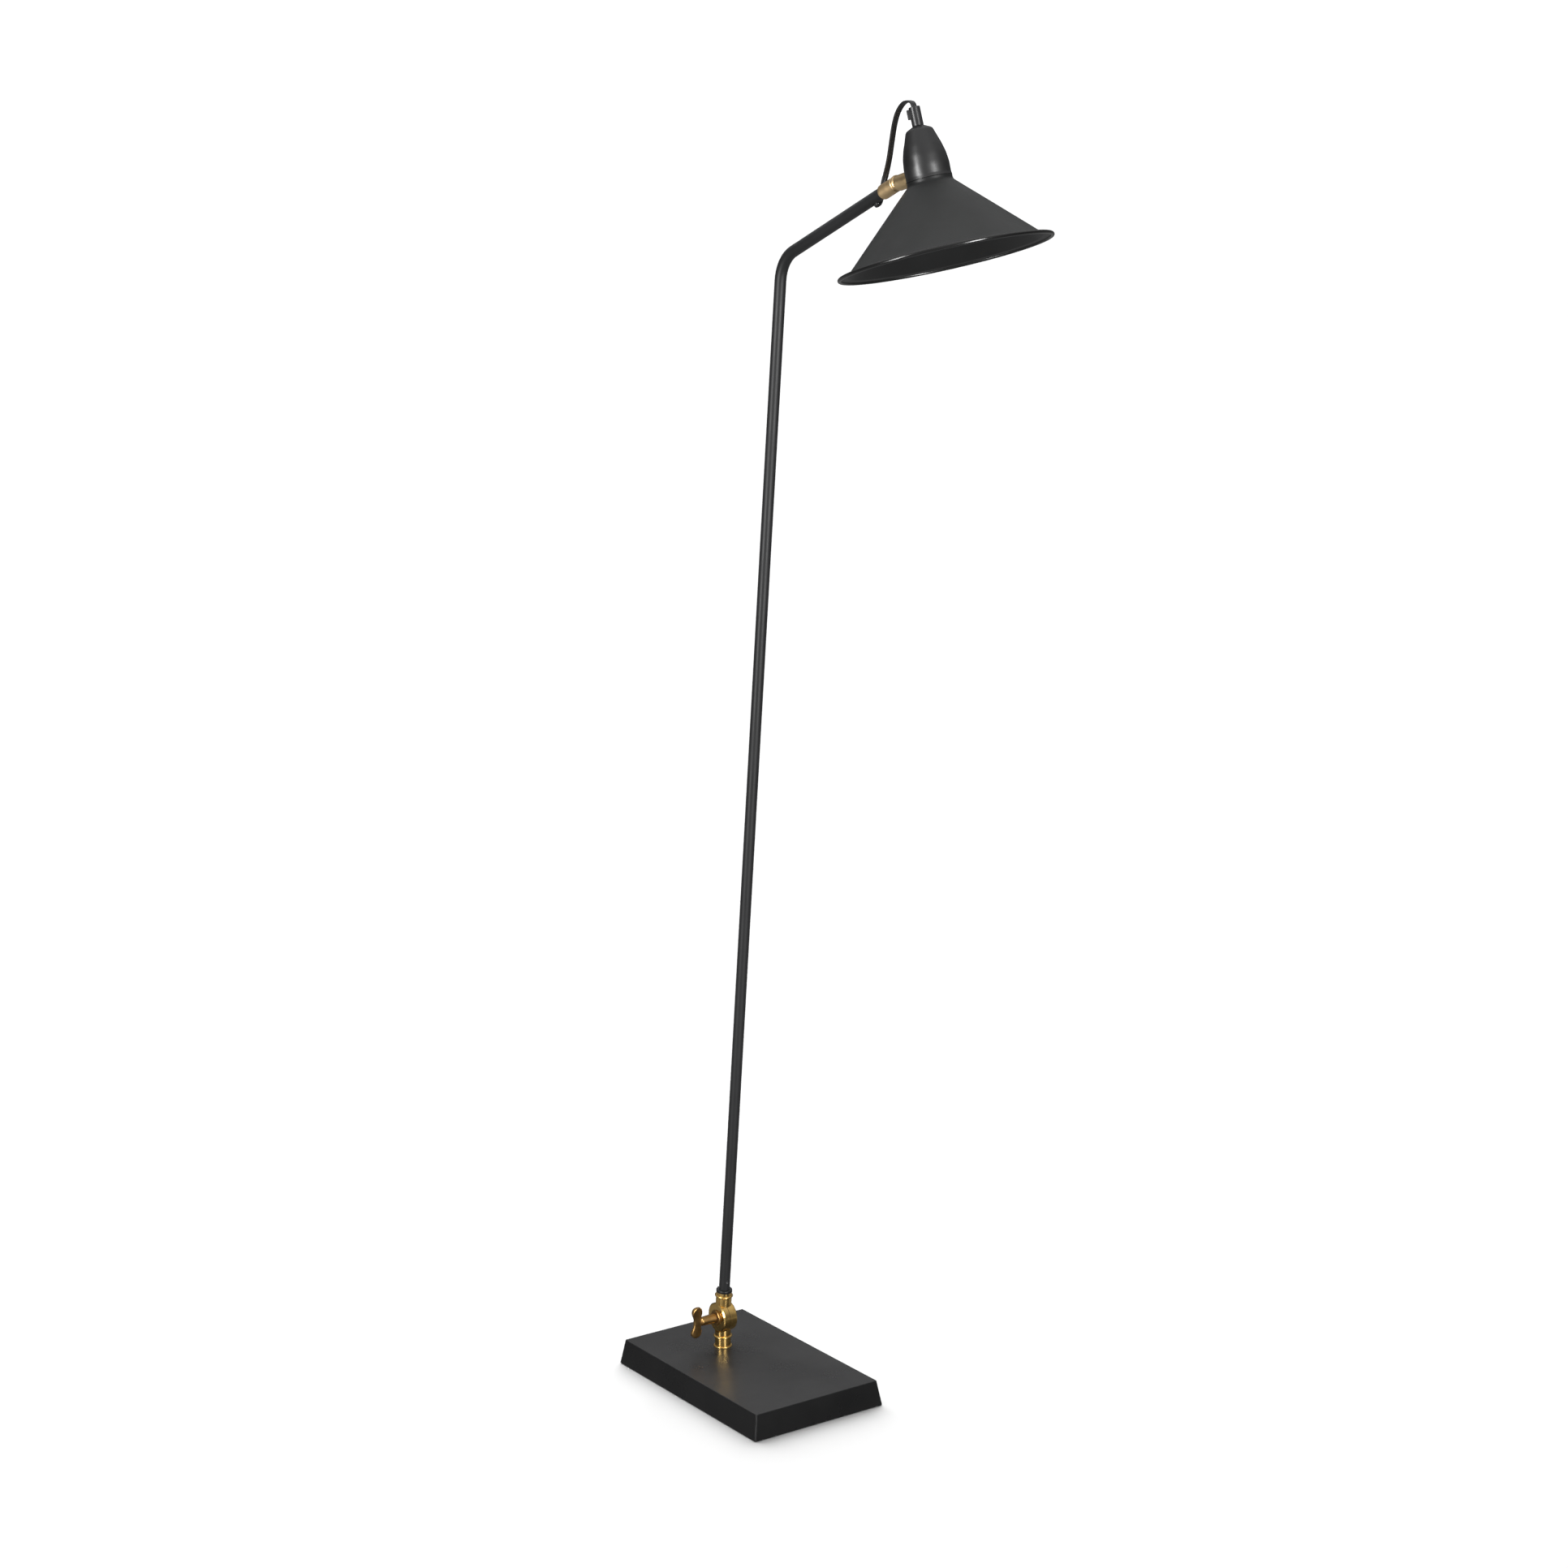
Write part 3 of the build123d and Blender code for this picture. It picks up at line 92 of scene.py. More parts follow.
class Mat:
    """A Principled material and short calls for the nodes that feed it."""

    def __init__(self, name):
        self.mat = bpy.data.materials.new(name)
        self.mat.use_nodes = True
        self.nt = self.mat.node_tree
        self.bsdf = next(n for n in self.nt.nodes if n.type == "BSDF_PRINCIPLED")
        self.co = self.nt.nodes.new("ShaderNodeTexCoord").outputs["Object"]

    def set(self, **kw):
        names = {"color": "Base Color", "metal": "Metallic", "rough": "Roughness", "ior": "IOR", "spec": "Specular IOR Level",
                 "coat": "Coat Weight", "coat_rough": "Coat Roughness", "sheen": "Sheen Weight", "sheen_rough": "Sheen Roughness"}
        for k, v in kw.items():
            self.bsdf.inputs[names[k]].default_value = (*v, 1) if k == "color" else v
        return self

    def node(self, kind, **props):
        n = self.nt.nodes.new(kind)
        for k, v in props.items():
            setattr(n, k, v)
        return n

    def link(self, a, b):
        self.nt.links.new(a, b)

    def put(self, socket, value):
        if isinstance(value, bpy.types.NodeSocket):
            self.link(value, socket)
        elif isinstance(value, (tuple, list, Vector)) and len(value) == 3 and socket.type == "RGBA":
            socket.default_value = (*value, 1)
        else:
            socket.default_value = value

    def math(self, op, a, b=0.0, c=0.0, clamp=False):
        n = self.node("ShaderNodeMath", operation=op, use_clamp=clamp)
        for i, v in enumerate((a, b, c)):
            self.put(n.inputs[i], v)
        return n.outputs[0]

    def along(self, origin, direction):
        """Distance along a line through the row frame, in metres."""
        s = self.node("ShaderNodeVectorMath", operation="SUBTRACT")
        self.link(self.co, s.inputs[0])
        s.inputs[1].default_value = origin
        d = self.node("ShaderNodeVectorMath", operation="DOT_PRODUCT")
        self.link(s.outputs[0], d.inputs[0])
        d.inputs[1].default_value = direction
        return d.outputs["Value"]

    def squashed(self, direction, factor):
        """Coordinates shrunk along a direction, so that noise runs in lines along it."""
        d = self.along((0, 0, 0), direction)
        s = self.node("ShaderNodeVectorMath", operation="SCALE")
        s.inputs[0].default_value = direction
        self.link(self.math("MULTIPLY", d, factor - 1.0), s.inputs["Scale"])
        a = self.node("ShaderNodeVectorMath", operation="ADD")
        self.link(self.co, a.inputs[0])
        self.link(s.outputs[0], a.inputs[1])
        return a.outputs[0]

    def noise(self, scale, detail=3.0, rough=0.5, co=None, distort=0.0):
        n = self.node("ShaderNodeTexNoise")
        self.link(self.co if co is None else co, n.inputs["Vector"])
        n.inputs["Scale"].default_value = scale
        n.inputs["Detail"].default_value = detail
        n.inputs["Roughness"].default_value = rough
        n.inputs["Distortion"].default_value = distort
        return n.outputs["Fac"]

    def ramp(self, value, low, high, out_low=0.0, out_high=1.0):
        n = self.node("ShaderNodeMapRange", clamp=True)
        n.interpolation_type = "SMOOTHSTEP"
        for i, v in enumerate((value, low, high, out_low, out_high)):
            self.put(n.inputs[i], v)
        return n.outputs[0]

    def mix(self, fac, a, b, blend="MIX"):
        n = self.node("ShaderNodeMix", data_type="RGBA", blend_type=blend)
        self.put(n.inputs[0], fac)
        self.put(n.inputs[6], a)
        self.put(n.inputs[7], b)
        return n.outputs[2]

    def edges(self, radius):
        """1 on sharp edges, 0 on open faces."""
        b = self.node("ShaderNodeBevel", samples=6)
        b.inputs["Radius"].default_value = radius
        g = self.node("ShaderNodeNewGeometry")
        d = self.node("ShaderNodeVectorMath", operation="DOT_PRODUCT")
        self.link(b.outputs[0], d.inputs[0])
        self.link(g.outputs["Normal"], d.inputs[1])
        return self.ramp(d.outputs["Value"], 0.995, 0.90)

    def crevice(self, distance):
        a = self.node("ShaderNodeAmbientOcclusion", samples=8)
        a.inputs["Distance"].default_value = distance
        return self.ramp(a.outputs["AO"], 0.35, 0.95, 1.0, 0.0)

    def bump(self, *layers, normal=None):
        """layers of (height socket, strength, depth in metres)"""
        last = normal
        for h, strength, depth in layers:
            b = self.node("ShaderNodeBump")
            b.inputs["Strength"].default_value = strength
            b.inputs["Distance"].default_value = depth
            self.link(h, b.inputs["Height"])
            if last is not None:
                self.link(last, b.inputs["Normal"])
            last = b.outputs[0]
        self.link(last, self.bsdf.inputs["Normal"])
        return self

    def color(self, value):
        self.put(self.bsdf.inputs["Base Color"], value)
        return self

    def rough(self, value):
        self.put(self.bsdf.inputs["Roughness"], value)
        return self

    def metal(self, value):
        self.put(self.bsdf.inputs["Metallic"], value)
        return self


def paint(name, dark, light, rough=0.45, spec=0.3, wear=0.35, peel=0.25, wear_color=(0.42, 0.41, 0.39), edge_r=0.0009, streak=None):
    """Satin black paint: soft clouding, dust specks, fine orange peel, chips on sharp edges."""
    m = Mat(name)
    cloud = m.ramp(m.noise(9.0, 4.0, 0.6), 0.3, 0.7)
    body = m.mix(cloud, dark, light)
    specks = m.ramp(m.noise(420.0, 2.0, 0.5), 0.80, 0.86)
    body = m.mix(m.math("MULTIPLY", specks, 0.10), body, (0.12, 0.115, 0.11))
    scuff = m.ramp(m.noise(38.0, 5.0, 0.7, distort=0.6), 0.62, 0.78)
    body = m.mix(m.math("MULTIPLY", scuff, 0.05), body, (0.10, 0.10, 0.10))
    edge = m.edges(edge_r)
    chip = m.math("MULTIPLY", edge, m.ramp(m.noise(170.0, 4.0, 0.65), 0.585, 0.62))
    line = m.math("MULTIPLY", edge, m.ramp(m.noise(30.0, 3.0, 0.6), 0.35, 0.75, 0.02, 0.20))
    worn = m.math("MULTIPLY", m.math("MAXIMUM", chip, line), wear, clamp=True)
    m.color(m.mix(worn, body, wear_color))
    r = m.ramp(m.noise(16.0, 5.0, 0.6), 0.25, 0.75, rough - 0.05, rough + 0.07)
    m.rough(m.math("SUBTRACT", r, m.math("MULTIPLY", worn, 0.12)))
    m.set(spec=spec)
    layers = [(m.noise(650.0, 2.0, 0.5), peel, 0.00010), (m.noise(90.0, 3.0, 0.5), peel * 0.7, 0.00022)]
    if streak is not None:
        layers.append((m.noise(260.0, 2.0, 0.5, co=m.squashed(streak, 0.04)), peel * 0.5, 0.00010))
    m.bump(*layers)
    return m.mat


def brass(name, bright, deep, rough=0.2, turned=None, pitch=0.0004, turned_depth=0.00003, patina=0.5, dents=0.2, crevice=0.004):
    """Brass with brown patina in patches and corners; turned marks run round an axis where one is given."""
    m = Mat(name)
    patches = m.ramp(m.noise(55.0, 5.0, 0.65, distort=0.4), 0.40, 0.72)
    fine = m.ramp(m.noise(420.0, 3.0, 0.6), 0.45, 0.8)
    body = m.mix(m.math("MULTIPLY", patches, patina), bright, deep)
    body = m.mix(m.math("MULTIPLY", fine, patina * 0.35), body, tuple(c * 0.75 for c in deep))
    corner = m.crevice(crevice)
    body = m.mix(m.math("MULTIPLY", corner, 0.75), body, tuple(c * 0.28 for c in deep))
    spots = m.ramp(m.noise(900.0, 1.0, 0.5), 0.78, 0.84)
    body = m.mix(m.math("MULTIPLY", spots, 0.5), body, tuple(c * 0.4 for c in deep))
    m.color(body)
    m.metal(m.math("SUBTRACT", 1.0, m.math("MULTIPLY", corner, 0.25)))
    r = m.ramp(m.noise(70.0, 5.0, 0.7), 0.25, 0.75, rough - 0.06, rough + 0.10)
    r = m.math("ADD", r, m.math("MULTIPLY", patches, 0.10 * patina))
    m.rough(m.math("ADD", r, m.math("MULTIPLY", corner, 0.25), clamp=True))
    layers = [(m.noise(110.0, 3.0, 0.55), dents, 0.00025)]
    if turned is not None:
        origin, axis = turned
        s = m.along(origin, axis)
        rings = m.math("SINE", m.math("MULTIPLY", s, 2 * math.pi / pitch))
        layers.append((m.math("MULTIPLY_ADD", rings, 0.5, 0.5), 0.6, turned_depth))
        lathe = m.node("ShaderNodeTexNoise", noise_dimensions="1D")
        m.link(s, lathe.inputs["W"])
        lathe.inputs["Scale"].default_value = 2600.0
        layers.append((lathe.outputs["Fac"], 0.5, turned_depth * 1.5))
    m.bump(*layers)
    return m.mat


def steel(name, color=(0.50, 0.50, 0.51), rough=0.32, rust=0.1):
    """Zinc-plated or bright steel with fine spangle and a little age."""
    m = Mat(name)
    cells = m.node("ShaderNodeTexVoronoi")
    m.link(m.co, cells.inputs["Vector"])
    cells.inputs["Scale"].default_value = 450.0
    tone = m.ramp(cells.outputs["Distance"], 0.0, 0.7)
    body = m.mix(tone, tuple(c * 0.85 for c in color), color)
    old = m.ramp(m.noise(120.0, 5.0, 0.7), 0.6, 0.8)
    body = m.mix(m.math("MULTIPLY", old, rust), body, (0.16, 0.09, 0.05))
    m.color(body)
    m.metal(m.math("SUBTRACT", 1.0, m.math("MULTIPLY", old, rust)))
    m.rough(m.ramp(m.noise(200.0, 4.0, 0.6), 0.3, 0.7, rough - 0.06, rough + 0.08))
    m.bump((m.noise(800.0, 3.0, 0.6), 0.25, 0.00006))
    return m.mat


def plastic(name, dark, light, rough=0.35, spec=0.5, grain=0.2, grain_scale=1400.0, streak=None, dust=0.2):
    """Moulded plastic or PVC: faint flow lines, fine grain, a little dust."""
    m = Mat(name)
    flow = m.ramp(m.noise(60.0, 4.0, 0.6, co=None if streak is None else m.squashed(streak, 0.15)), 0.3, 0.7)
    body = m.mix(flow, dark, light)
    dusty = m.ramp(m.noise(500.0, 2.0, 0.6), 0.72, 0.82)
    body = m.mix(m.math("MULTIPLY", dusty, dust), body, tuple(min(1.0, c * 2.5 + 0.03) for c in light))
    m.color(body)
    m.rough(m.ramp(m.noise(110.0, 5.0, 0.6), 0.25, 0.75, rough - 0.05, rough + 0.08))
    m.set(spec=spec)
    layers = [(m.noise(grain_scale, 2.0, 0.5), grain, 0.00006)]
    if streak is not None:
        layers.append((m.noise(420.0, 2.0, 0.5, co=m.squashed(streak, 0.03)), grain, 0.00008))
    m.bump(*layers)
    return m.mat


def felt(name):
    m = Mat(name)
    fibre = m.noise(2200.0, 4.0, 0.8, distort=1.5)
    body = m.mix(m.ramp(fibre, 0.35, 0.7), (0.010, 0.010, 0.011), (0.045, 0.045, 0.048))
    lint = m.ramp(m.noise(900.0, 2.0, 0.6, distort=2.0), 0.74, 0.80)
    m.color(m.mix(m.math("MULTIPLY", lint, 0.4), body, (0.25, 0.24, 0.23)))
    m.rough(m.ramp(fibre, 0.3, 0.7, 0.86, 0.98))
    m.set(sheen=0.35, sheen_rough=0.5, spec=0.2)
    m.bump((fibre, 0.9, 0.0004))
    return m.mat


def cast_iron(name):
    m = Mat(name)
    grain = m.noise(380.0, 5.0, 0.7)
    body = m.mix(m.ramp(grain, 0.35, 0.7), (0.05, 0.048, 0.046), (0.13, 0.125, 0.12))
    rust = m.ramp(m.noise(45.0, 5.0, 0.7), 0.55, 0.75)
    m.color(m.mix(m.math("MULTIPLY", rust, 0.5), body, (0.12, 0.05, 0.025)))
    m.metal(m.math("MULTIPLY_ADD", rust, -0.5, 0.7))
    m.rough(m.ramp(grain, 0.3, 0.7, 0.5, 0.75))
    m.bump((grain, 0.8, 0.0005))
    return m.mat


# ---------------------------------------------------------------------------
# materials
# ---------------------------------------------------------------------------
BASE_PAINT = paint("base_paint", (0.021, 0.021, 0.0215), (0.027, 0.027, 0.0275), rough=0.29, spec=0.20, wear=0.9, peel=0.10)
TUBE_PAINT = paint("tube_paint", (0.036, 0.037, 0.039), (0.048, 0.049, 0.052), rough=0.46, spec=0.36, wear=0.7, peel=0.30, streak=STEM_D)
SHADE_PAINT = paint("shade_paint", (0.021, 0.022, 0.022), (0.029, 0.030, 0.030), rough=0.40, spec=0.34, wear=0.12, peel=0.16, streak=ZH)
BEAD_PAINT = paint("bead_paint", (0.014, 0.014, 0.014), (0.020, 0.020, 0.020), rough=0.18, spec=0.55, wear=0.25, peel=0.08)
CAP_PAINT = paint("cap_paint", (0.017, 0.017, 0.018), (0.024, 0.024, 0.026), rough=0.36, spec=0.75, wear=0.25, peel=0.20)
RING_PAINT = paint("ring_paint", (0.015, 0.015, 0.015), (0.022, 0.022, 0.022), rough=0.34, spec=0.4, wear=0.8, peel=0.2)

KNUCKLE_BRASS = brass("knuckle_brass", (0.80, 0.53, 0.18), (0.44, 0.26, 0.07), rough=0.19, patina=0.55, dents=0.22, crevice=0.003)
FOOT_BRASS = brass("foot_brass", (0.82, 0.56, 0.20), (0.44, 0.26, 0.07), rough=0.19, patina=0.45, dents=0.12, turned=(PIVOT, UP), pitch=0.0005, turned_depth=0.00002)
# darker copy of the knuckle brass for the wing screw and its washer: the dark brown base colour is painted shade for
# the wing face that turns away from the light, while the patina patches and dents are wear
SHADED_WING_BRASS = brass("shaded_wing_brass", (0.42, 0.25, 0.09), (0.22, 0.12, 0.04), rough=0.30, patina=0.7, dents=0.35)
HEAD_BRASS = brass("head_brass", (0.80, 0.58, 0.32), (0.60, 0.40, 0.19), rough=0.36, patina=0.30, dents=0.06, turned=(BALL, ARM_D), pitch=0.00045, turned_depth=0.00003)
SLEEVE_BRASS = brass("sleeve_brass", (0.84, 0.62, 0.34), (0.60, 0.40, 0.19), rough=0.32, patina=0.25, dents=0.06, turned=(BALL, XH), pitch=0.00045, turned_depth=0.00003)
INNER_BRASS = brass("inner_brass", (0.70, 0.52, 0.24), (0.45, 0.30, 0.12), rough=0.26, patina=0.3, dents=0.05)
SHELL_BRASS = brass("shell_brass", (0.74, 0.60, 0.36), (0.5, 0.36, 0.18), rough=0.22, patina=0.2, dents=0.05, turned=(RIM_C, ZH), pitch=0.0004, turned_depth=0.00001)
ZINC = steel("zinc_steel")
DARK_STEEL = steel("blued_steel", (0.16, 0.16, 0.175), 0.36, 0.15)
BRIGHT_STEEL = steel("bright_steel", (0.62, 0.62, 0.63), 0.22, 0.05)
FELT = felt("felt")
IRON = cast_iron("cast_iron")
RUBBER = plastic("rubber", (0.012, 0.012, 0.012), (0.022, 0.022, 0.022), rough=0.62, spec=0.3, grain=0.4, dust=0.4)
PVC = plastic("cord_pvc", (0.042, 0.042, 0.045), (0.060, 0.060, 0.064), rough=0.40, spec=0.5, grain=0.25, dust=0.25)
GRIP = plastic("grip_plastic", (0.045, 0.045, 0.048), (0.065, 0.065, 0.070), rough=0.34, spec=0.55, grain=0.25, streak=ZH, dust=0.15)
PHENOLIC = plastic("phenolic", (0.014, 0.013, 0.013), (0.026, 0.024, 0.023), rough=0.24, spec=0.5, grain=0.12, dust=0.35)
FIBRE = plastic("fibre", (0.10, 0.055, 0.03), (0.17, 0.10, 0.055), rough=0.6, spec=0.3, grain=0.6, grain_scale=900.0)
ACETAL = plastic("acetal", (0.62, 0.60, 0.54), (0.72, 0.70, 0.65), rough=0.4, spec=0.4, grain=0.1)
PORCELAIN = plastic("block_plastic", (0.66, 0.65, 0.60), (0.76, 0.75, 0.71), rough=0.35, spec=0.5, grain=0.15)
CORE = plastic("core_insulation", (0.20, 0.075, 0.035), (0.28, 0.11, 0.05), rough=0.4, spec=0.4, grain=0.15)

LOOKS = {
    "base_cover": BASE_PAINT, "cover_posts": ZINC, "base_plate": ZINC, "base_plate_screws": ZINC, "counterweight": IRON, "felt_pad": FELT,
    "lead_grommet": RUBBER, "terminal_block": PORCELAIN, "terminal_block_screws": INNER_BRASS, "stem_nipple": ZINC, "stem_washer": ZINC,
    "stem_nut": INNER_BRASS, "stem_flange": FOOT_BRASS, "lower_knuckle": KNUCKLE_BRASS, "stop_pin": BRIGHT_STEEL, "friction_washer": FIBRE,
    "upper_knuckle": KNUCKLE_BRASS, "clamp_washer": SHADED_WING_BRASS, "clamp_screw": ZINC, "wing_handle": SHADED_WING_BRASS, "arm_tube": TUBE_PAINT,
    "socket_lock_ring": RING_PAINT, "socket_set_screw": DARK_STEEL, "tube_set_screw": BRIGHT_STEEL, "ball_cup": HEAD_BRASS, "cup_ring": HEAD_BRASS,
    "friction_seat": ACETAL, "seat_spring": BRIGHT_STEEL, "ball_stud": BRIGHT_STEEL, "stud_sleeve": SLEEVE_BRASS, "stud_washer": ZINC,
    "stud_nut": ZINC, "shade": SHADE_PAINT, "shade_cap": CAP_PAINT, "cap_nipple": INNER_BRASS, "nipple_nut": INNER_BRASS, "cord_grip": GRIP,
    "grip_clamp": GRIP, "grip_cord": PVC, "lampholder_dome": PHENOLIC, "lampholder_body": PHENOLIC, "screw_shell": SHELL_BRASS,
    "centre_contact": INNER_BRASS, "holder_terminals": INNER_BRASS, "holder_leads": CORE, "head_cord": PVC, "arm_cable": PVC,
    "knuckle_wire": PVC, "base_cable": PVC,
}


def dress(obj, mat):
    if obj.material_slots:
        for s in obj.material_slots:
            s.material = mat
    else:
        obj.data.materials.append(mat)


for name, node in NODES.items():
    dress(node, LOOKS[name])


def new_mesh(name, verts, faces, mat, smooth=True):
    me = bpy.data.meshes.new(name)
    me.from_pydata([tuple(v) for v in verts], [], faces)
    me.validate()
    me.materials.append(mat)
    if smooth:
        me.polygons.foreach_set("use_smooth", [True] * len(me.polygons))
    ob = bpy.data.objects.new(name, me)
    scene.collection.objects.link(ob)
    return ob


# ---------------------------------------------------------------------------
# spun shade and cap: closed sheet walls turned round the head's axis, with the faint flats of hand work
# ---------------------------------------------------------------------------
# outlines as (radius, height above the rim) in millimetres
SHADE_OUTLINE = [
    (21.60, 92.50), (21.60, 86.03), (21.60, 79.55), (21.60, 79.51), (21.61, 79.47), (21.63, 79.43), (21.65, 79.39), (21.67, 79.35), (21.70, 79.32),
    (21.74, 79.30), (21.78, 79.28), (21.82, 79.26), (21.86, 79.25), (21.90, 79.25), (22.95, 79.25), (23.01, 79.25), (23.06, 79.23), (23.12, 79.21),
    (23.17, 79.19), (23.21, 79.15), (23.25, 79.11), (23.29, 79.07), (23.31, 79.02), (23.33, 78.96), (23.35, 78.91), (23.35, 78.85), (23.35, 77.05),
    (23.39, 76.42), (23.52, 75.79), (23.73, 75.19), (24.02, 74.62), (24.39, 74.09), (24.82, 73.62), (29.80, 68.87), (34.79, 64.12), (39.77, 59.37),
    (44.76, 54.62), (49.74, 49.86), (54.73, 45.11), (59.71, 40.36), (64.70, 35.61), (69.68, 30.86), (74.67, 26.10), (79.65, 21.35), (84.64, 16.60),
    (89.62, 11.85), (94.61, 7.10), (99.59, 2.34), (99.83, 2.15), (100.10, 1.99), (100.39, 1.88), (100.69, 1.81), (103.58, 1.40), (106.47, 1.00), (106.73,
    1.35), (107.06, 1.64), (107.45, 1.85), (107.88, 1.97), (108.32, 2.00), (108.76, 1.92), (109.17, 1.75), (109.53, 1.50), (109.83, 1.17), (110.04, 0.78),
    (110.17, 0.35), (110.20, -0.09), (110.13, -0.53), (109.97, -0.94), (109.72, -1.30), (109.39, -1.61), (109.01, -1.83), (108.59, -1.96), (108.14,
    -2.00), (107.71, -1.94), (107.29, -1.78), (106.92, -1.54), (106.61, -1.22), (106.38, -0.84), (106.24, -0.42), (106.20, 0.02), (100.55, 0.82), (100.10,
    0.92), (99.66, 1.09), (99.26, 1.33), (98.90, 1.62), (93.88, 6.40), (88.86, 11.19), (83.85, 15.97), (78.83, 20.76), (73.81, 25.54), (68.79, 30.33),
    (63.77, 35.11), (58.75, 39.89), (53.73, 44.68), (48.71, 49.46), (43.70, 54.25), (38.68, 59.03), (33.66, 63.82), (28.64, 68.60), (23.62, 73.39),
    (23.25, 73.79), (22.93, 74.25), (22.68, 74.74), (22.50, 75.26), (22.39, 75.80), (22.35, 76.35), (22.35, 77.85), (22.35, 77.91), (22.33, 77.96),
    (22.31, 78.02), (22.29, 78.07), (22.25, 78.11), (22.21, 78.15), (22.17, 78.19), (22.12, 78.21), (22.06, 78.23), (22.01, 78.25), (21.95, 78.25),
    (20.90, 78.25), (20.86, 78.25), (20.82, 78.26), (20.78, 78.28), (20.74, 78.30), (20.70, 78.32), (20.67, 78.35), (20.65, 78.39), (20.63, 78.43),
    (20.61, 78.47), (20.60, 78.51), (20.60, 78.55), (20.60, 85.53), (20.60, 92.50),
]

CAP_OUTLINE = [
    (23.50, 79.50), (23.09, 81.95), (23.05, 82.23), (23.03, 82.50), (23.01, 82.78), (23.01, 83.06), (23.08, 86.34), (23.14, 89.63), (23.14, 91.54),
    (23.04, 93.45), (22.85, 95.35), (22.23, 100.33), (21.97, 102.10), (21.63, 103.86), (21.22, 105.60), (19.72, 111.30), (19.38, 112.49), (18.99, 113.67),
    (17.81, 116.99), (16.63, 120.32), (15.46, 123.65), (14.28, 126.97), (14.19, 127.21), (14.08, 127.45), (13.97, 127.68), (13.84, 127.91), (13.70,
    128.12), (13.55, 128.33), (13.38, 128.53), (13.21, 128.73), (13.03, 128.91), (12.84, 129.09), (12.64, 129.25), (12.43, 129.40), (12.21, 129.55),
    (11.99, 129.68), (11.76, 129.80), (8.48, 131.40), (5.20, 133.00), (5.05, 132.30), (7.95, 130.32), (11.23, 128.72), (11.41, 128.63), (11.58, 128.53),
    (11.74, 128.42), (11.90, 128.30), (12.05, 128.18), (12.20, 128.05), (12.34, 127.91), (12.47, 127.76), (12.59, 127.61), (12.71, 127.45), (12.81,
    127.28), (12.91, 127.11), (13.00, 126.93), (13.08, 126.75), (13.15, 126.57), (14.33, 123.25), (15.50, 119.92), (16.68, 116.59), (17.85, 113.27),
    (18.23, 112.14), (18.56, 110.99), (20.05, 105.30), (20.46, 103.61), (20.79, 101.90), (21.04, 100.18), (21.66, 95.21), (21.84, 93.36), (21.94, 91.51),
    (21.94, 89.65), (21.88, 86.37), (21.81, 83.08), (21.81, 82.75), (21.83, 82.41), (21.86, 82.08), (21.91, 81.76), (22.32, 79.30),
]


def smooth01(t):
    t = min(1.0, max(0.0, t))
    return t * t * (3 - 2 * t)


def finish_mesh(ob, sharp=35.0):
    bm = bmesh.new()
    bm.from_mesh(ob.data)
    bmesh.ops.remove_doubles(bm, verts=bm.verts, dist=1e-7)
    bmesh.ops.recalc_face_normals(bm, faces=bm.faces)
    bm.to_mesh(ob.data)
    bm.free()
    ob.data.set_sharp_from_angle(angle=math.radians(sharp))
    return ob


def turned(name, outline, mat, segments, shift):
    """Closed outline turned round the head's axis; shift(angle, radius, height) is in metres, square to the wall's slope."""
    n = len(outline)
    verts, faces = [], []
    for k in range(segments):
        a = 2 * math.pi * k / segments
        for r, z in outline:
            dr, dz = shift(a, r, z)
            rr, zz = r / 1000 + dr, z / 1000 + dz
            verts.append(head_at(rr * math.cos(a), rr * math.sin(a), zz))
    for k in range(segments):
        k1 = (k + 1) % segments
        for i in range(n):
            j = (i + 1) % n
            faces.append((k * n + i, k1 * n + i, k1 * n + j, k * n + j))
    return finish_mesh(new_mesh(name, verts, faces, mat))


def bump_at(a, z, a0, z0, wide, tall):
    d = (a - a0 + math.pi) % (2 * math.pi) - math.pi
    return math.exp(-((d / wide) ** 2) - ((z - z0) / tall) ** 2)


def shade_shift(a, r, z):
    if z > 76.0 or r > 104.0:
        return 0.0, 0.0
    w = smooth01((76.0 - z) / 12.0) * smooth01((104.0 - r) / 8.0)
    d = 0.10 * math.sin(3 * a + 0.7) + 0.06 * math.sin(7 * a + z / 11.0) + 0.04 * math.sin(13 * a - z / 7.0)
    d -= 0.30 * bump_at(a, z, 3.6, 38.0, 0.16, 9.0) + 0.22 * bump_at(a, z, 5.1, 22.0, 0.12, 7.0) + 0.25 * bump_at(a, z, 4.4, 54.0, 0.22, 7.0)
    d -= 0.25 * bump_at(a, z, 1.3, 30.0, 0.15, 10.0)
    d *= w / 1000
    return d * 0.716, d * 0.698


def cap_shift(a, r, z):
    w = smooth01((z - 80.5) / 5.0) * smooth01((130.0 - z) / 4.0)
    d = 0.05 * math.sin(4 * a + 0.4) + 0.04 * math.sin(9 * a + z / 5.0)
    d -= 0.22 * bump_at(a, z, 4.9, 97.0, 0.20, 4.5) + 0.18 * bump_at(a, z, 4.1, 118.0, 0.25, 4.0) + 0.16 * bump_at(a, z, 5.6, 108.0, 0.22, 5.0)
    return d * w / 1000, 0.0


shade_body = turned("shade_body", SHADE_OUTLINE, SHADE_PAINT, 288, shade_shift)
shade_body.data.materials.append(BEAD_PAINT)
for f in shade_body.data.polygons:
    d = f.center - RIM_C
    h = d.dot(ZH)
    if (d - ZH * h).length > 0.1063:
        f.material_index = 1
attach(shade_body, "head")
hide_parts("shade")
cap_body = turned("cap_body", CAP_OUTLINE, CAP_PAINT, 192, cap_shift)
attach(cap_body, "head")
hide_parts("shade_cap")

# the lampholder's shell: thin brass rolled to a round thread, 3.6 mm pitch
SHELL_LOW, SHELL_HIGH, SHELL_PITCH = 76.5, 101.0, 3.6


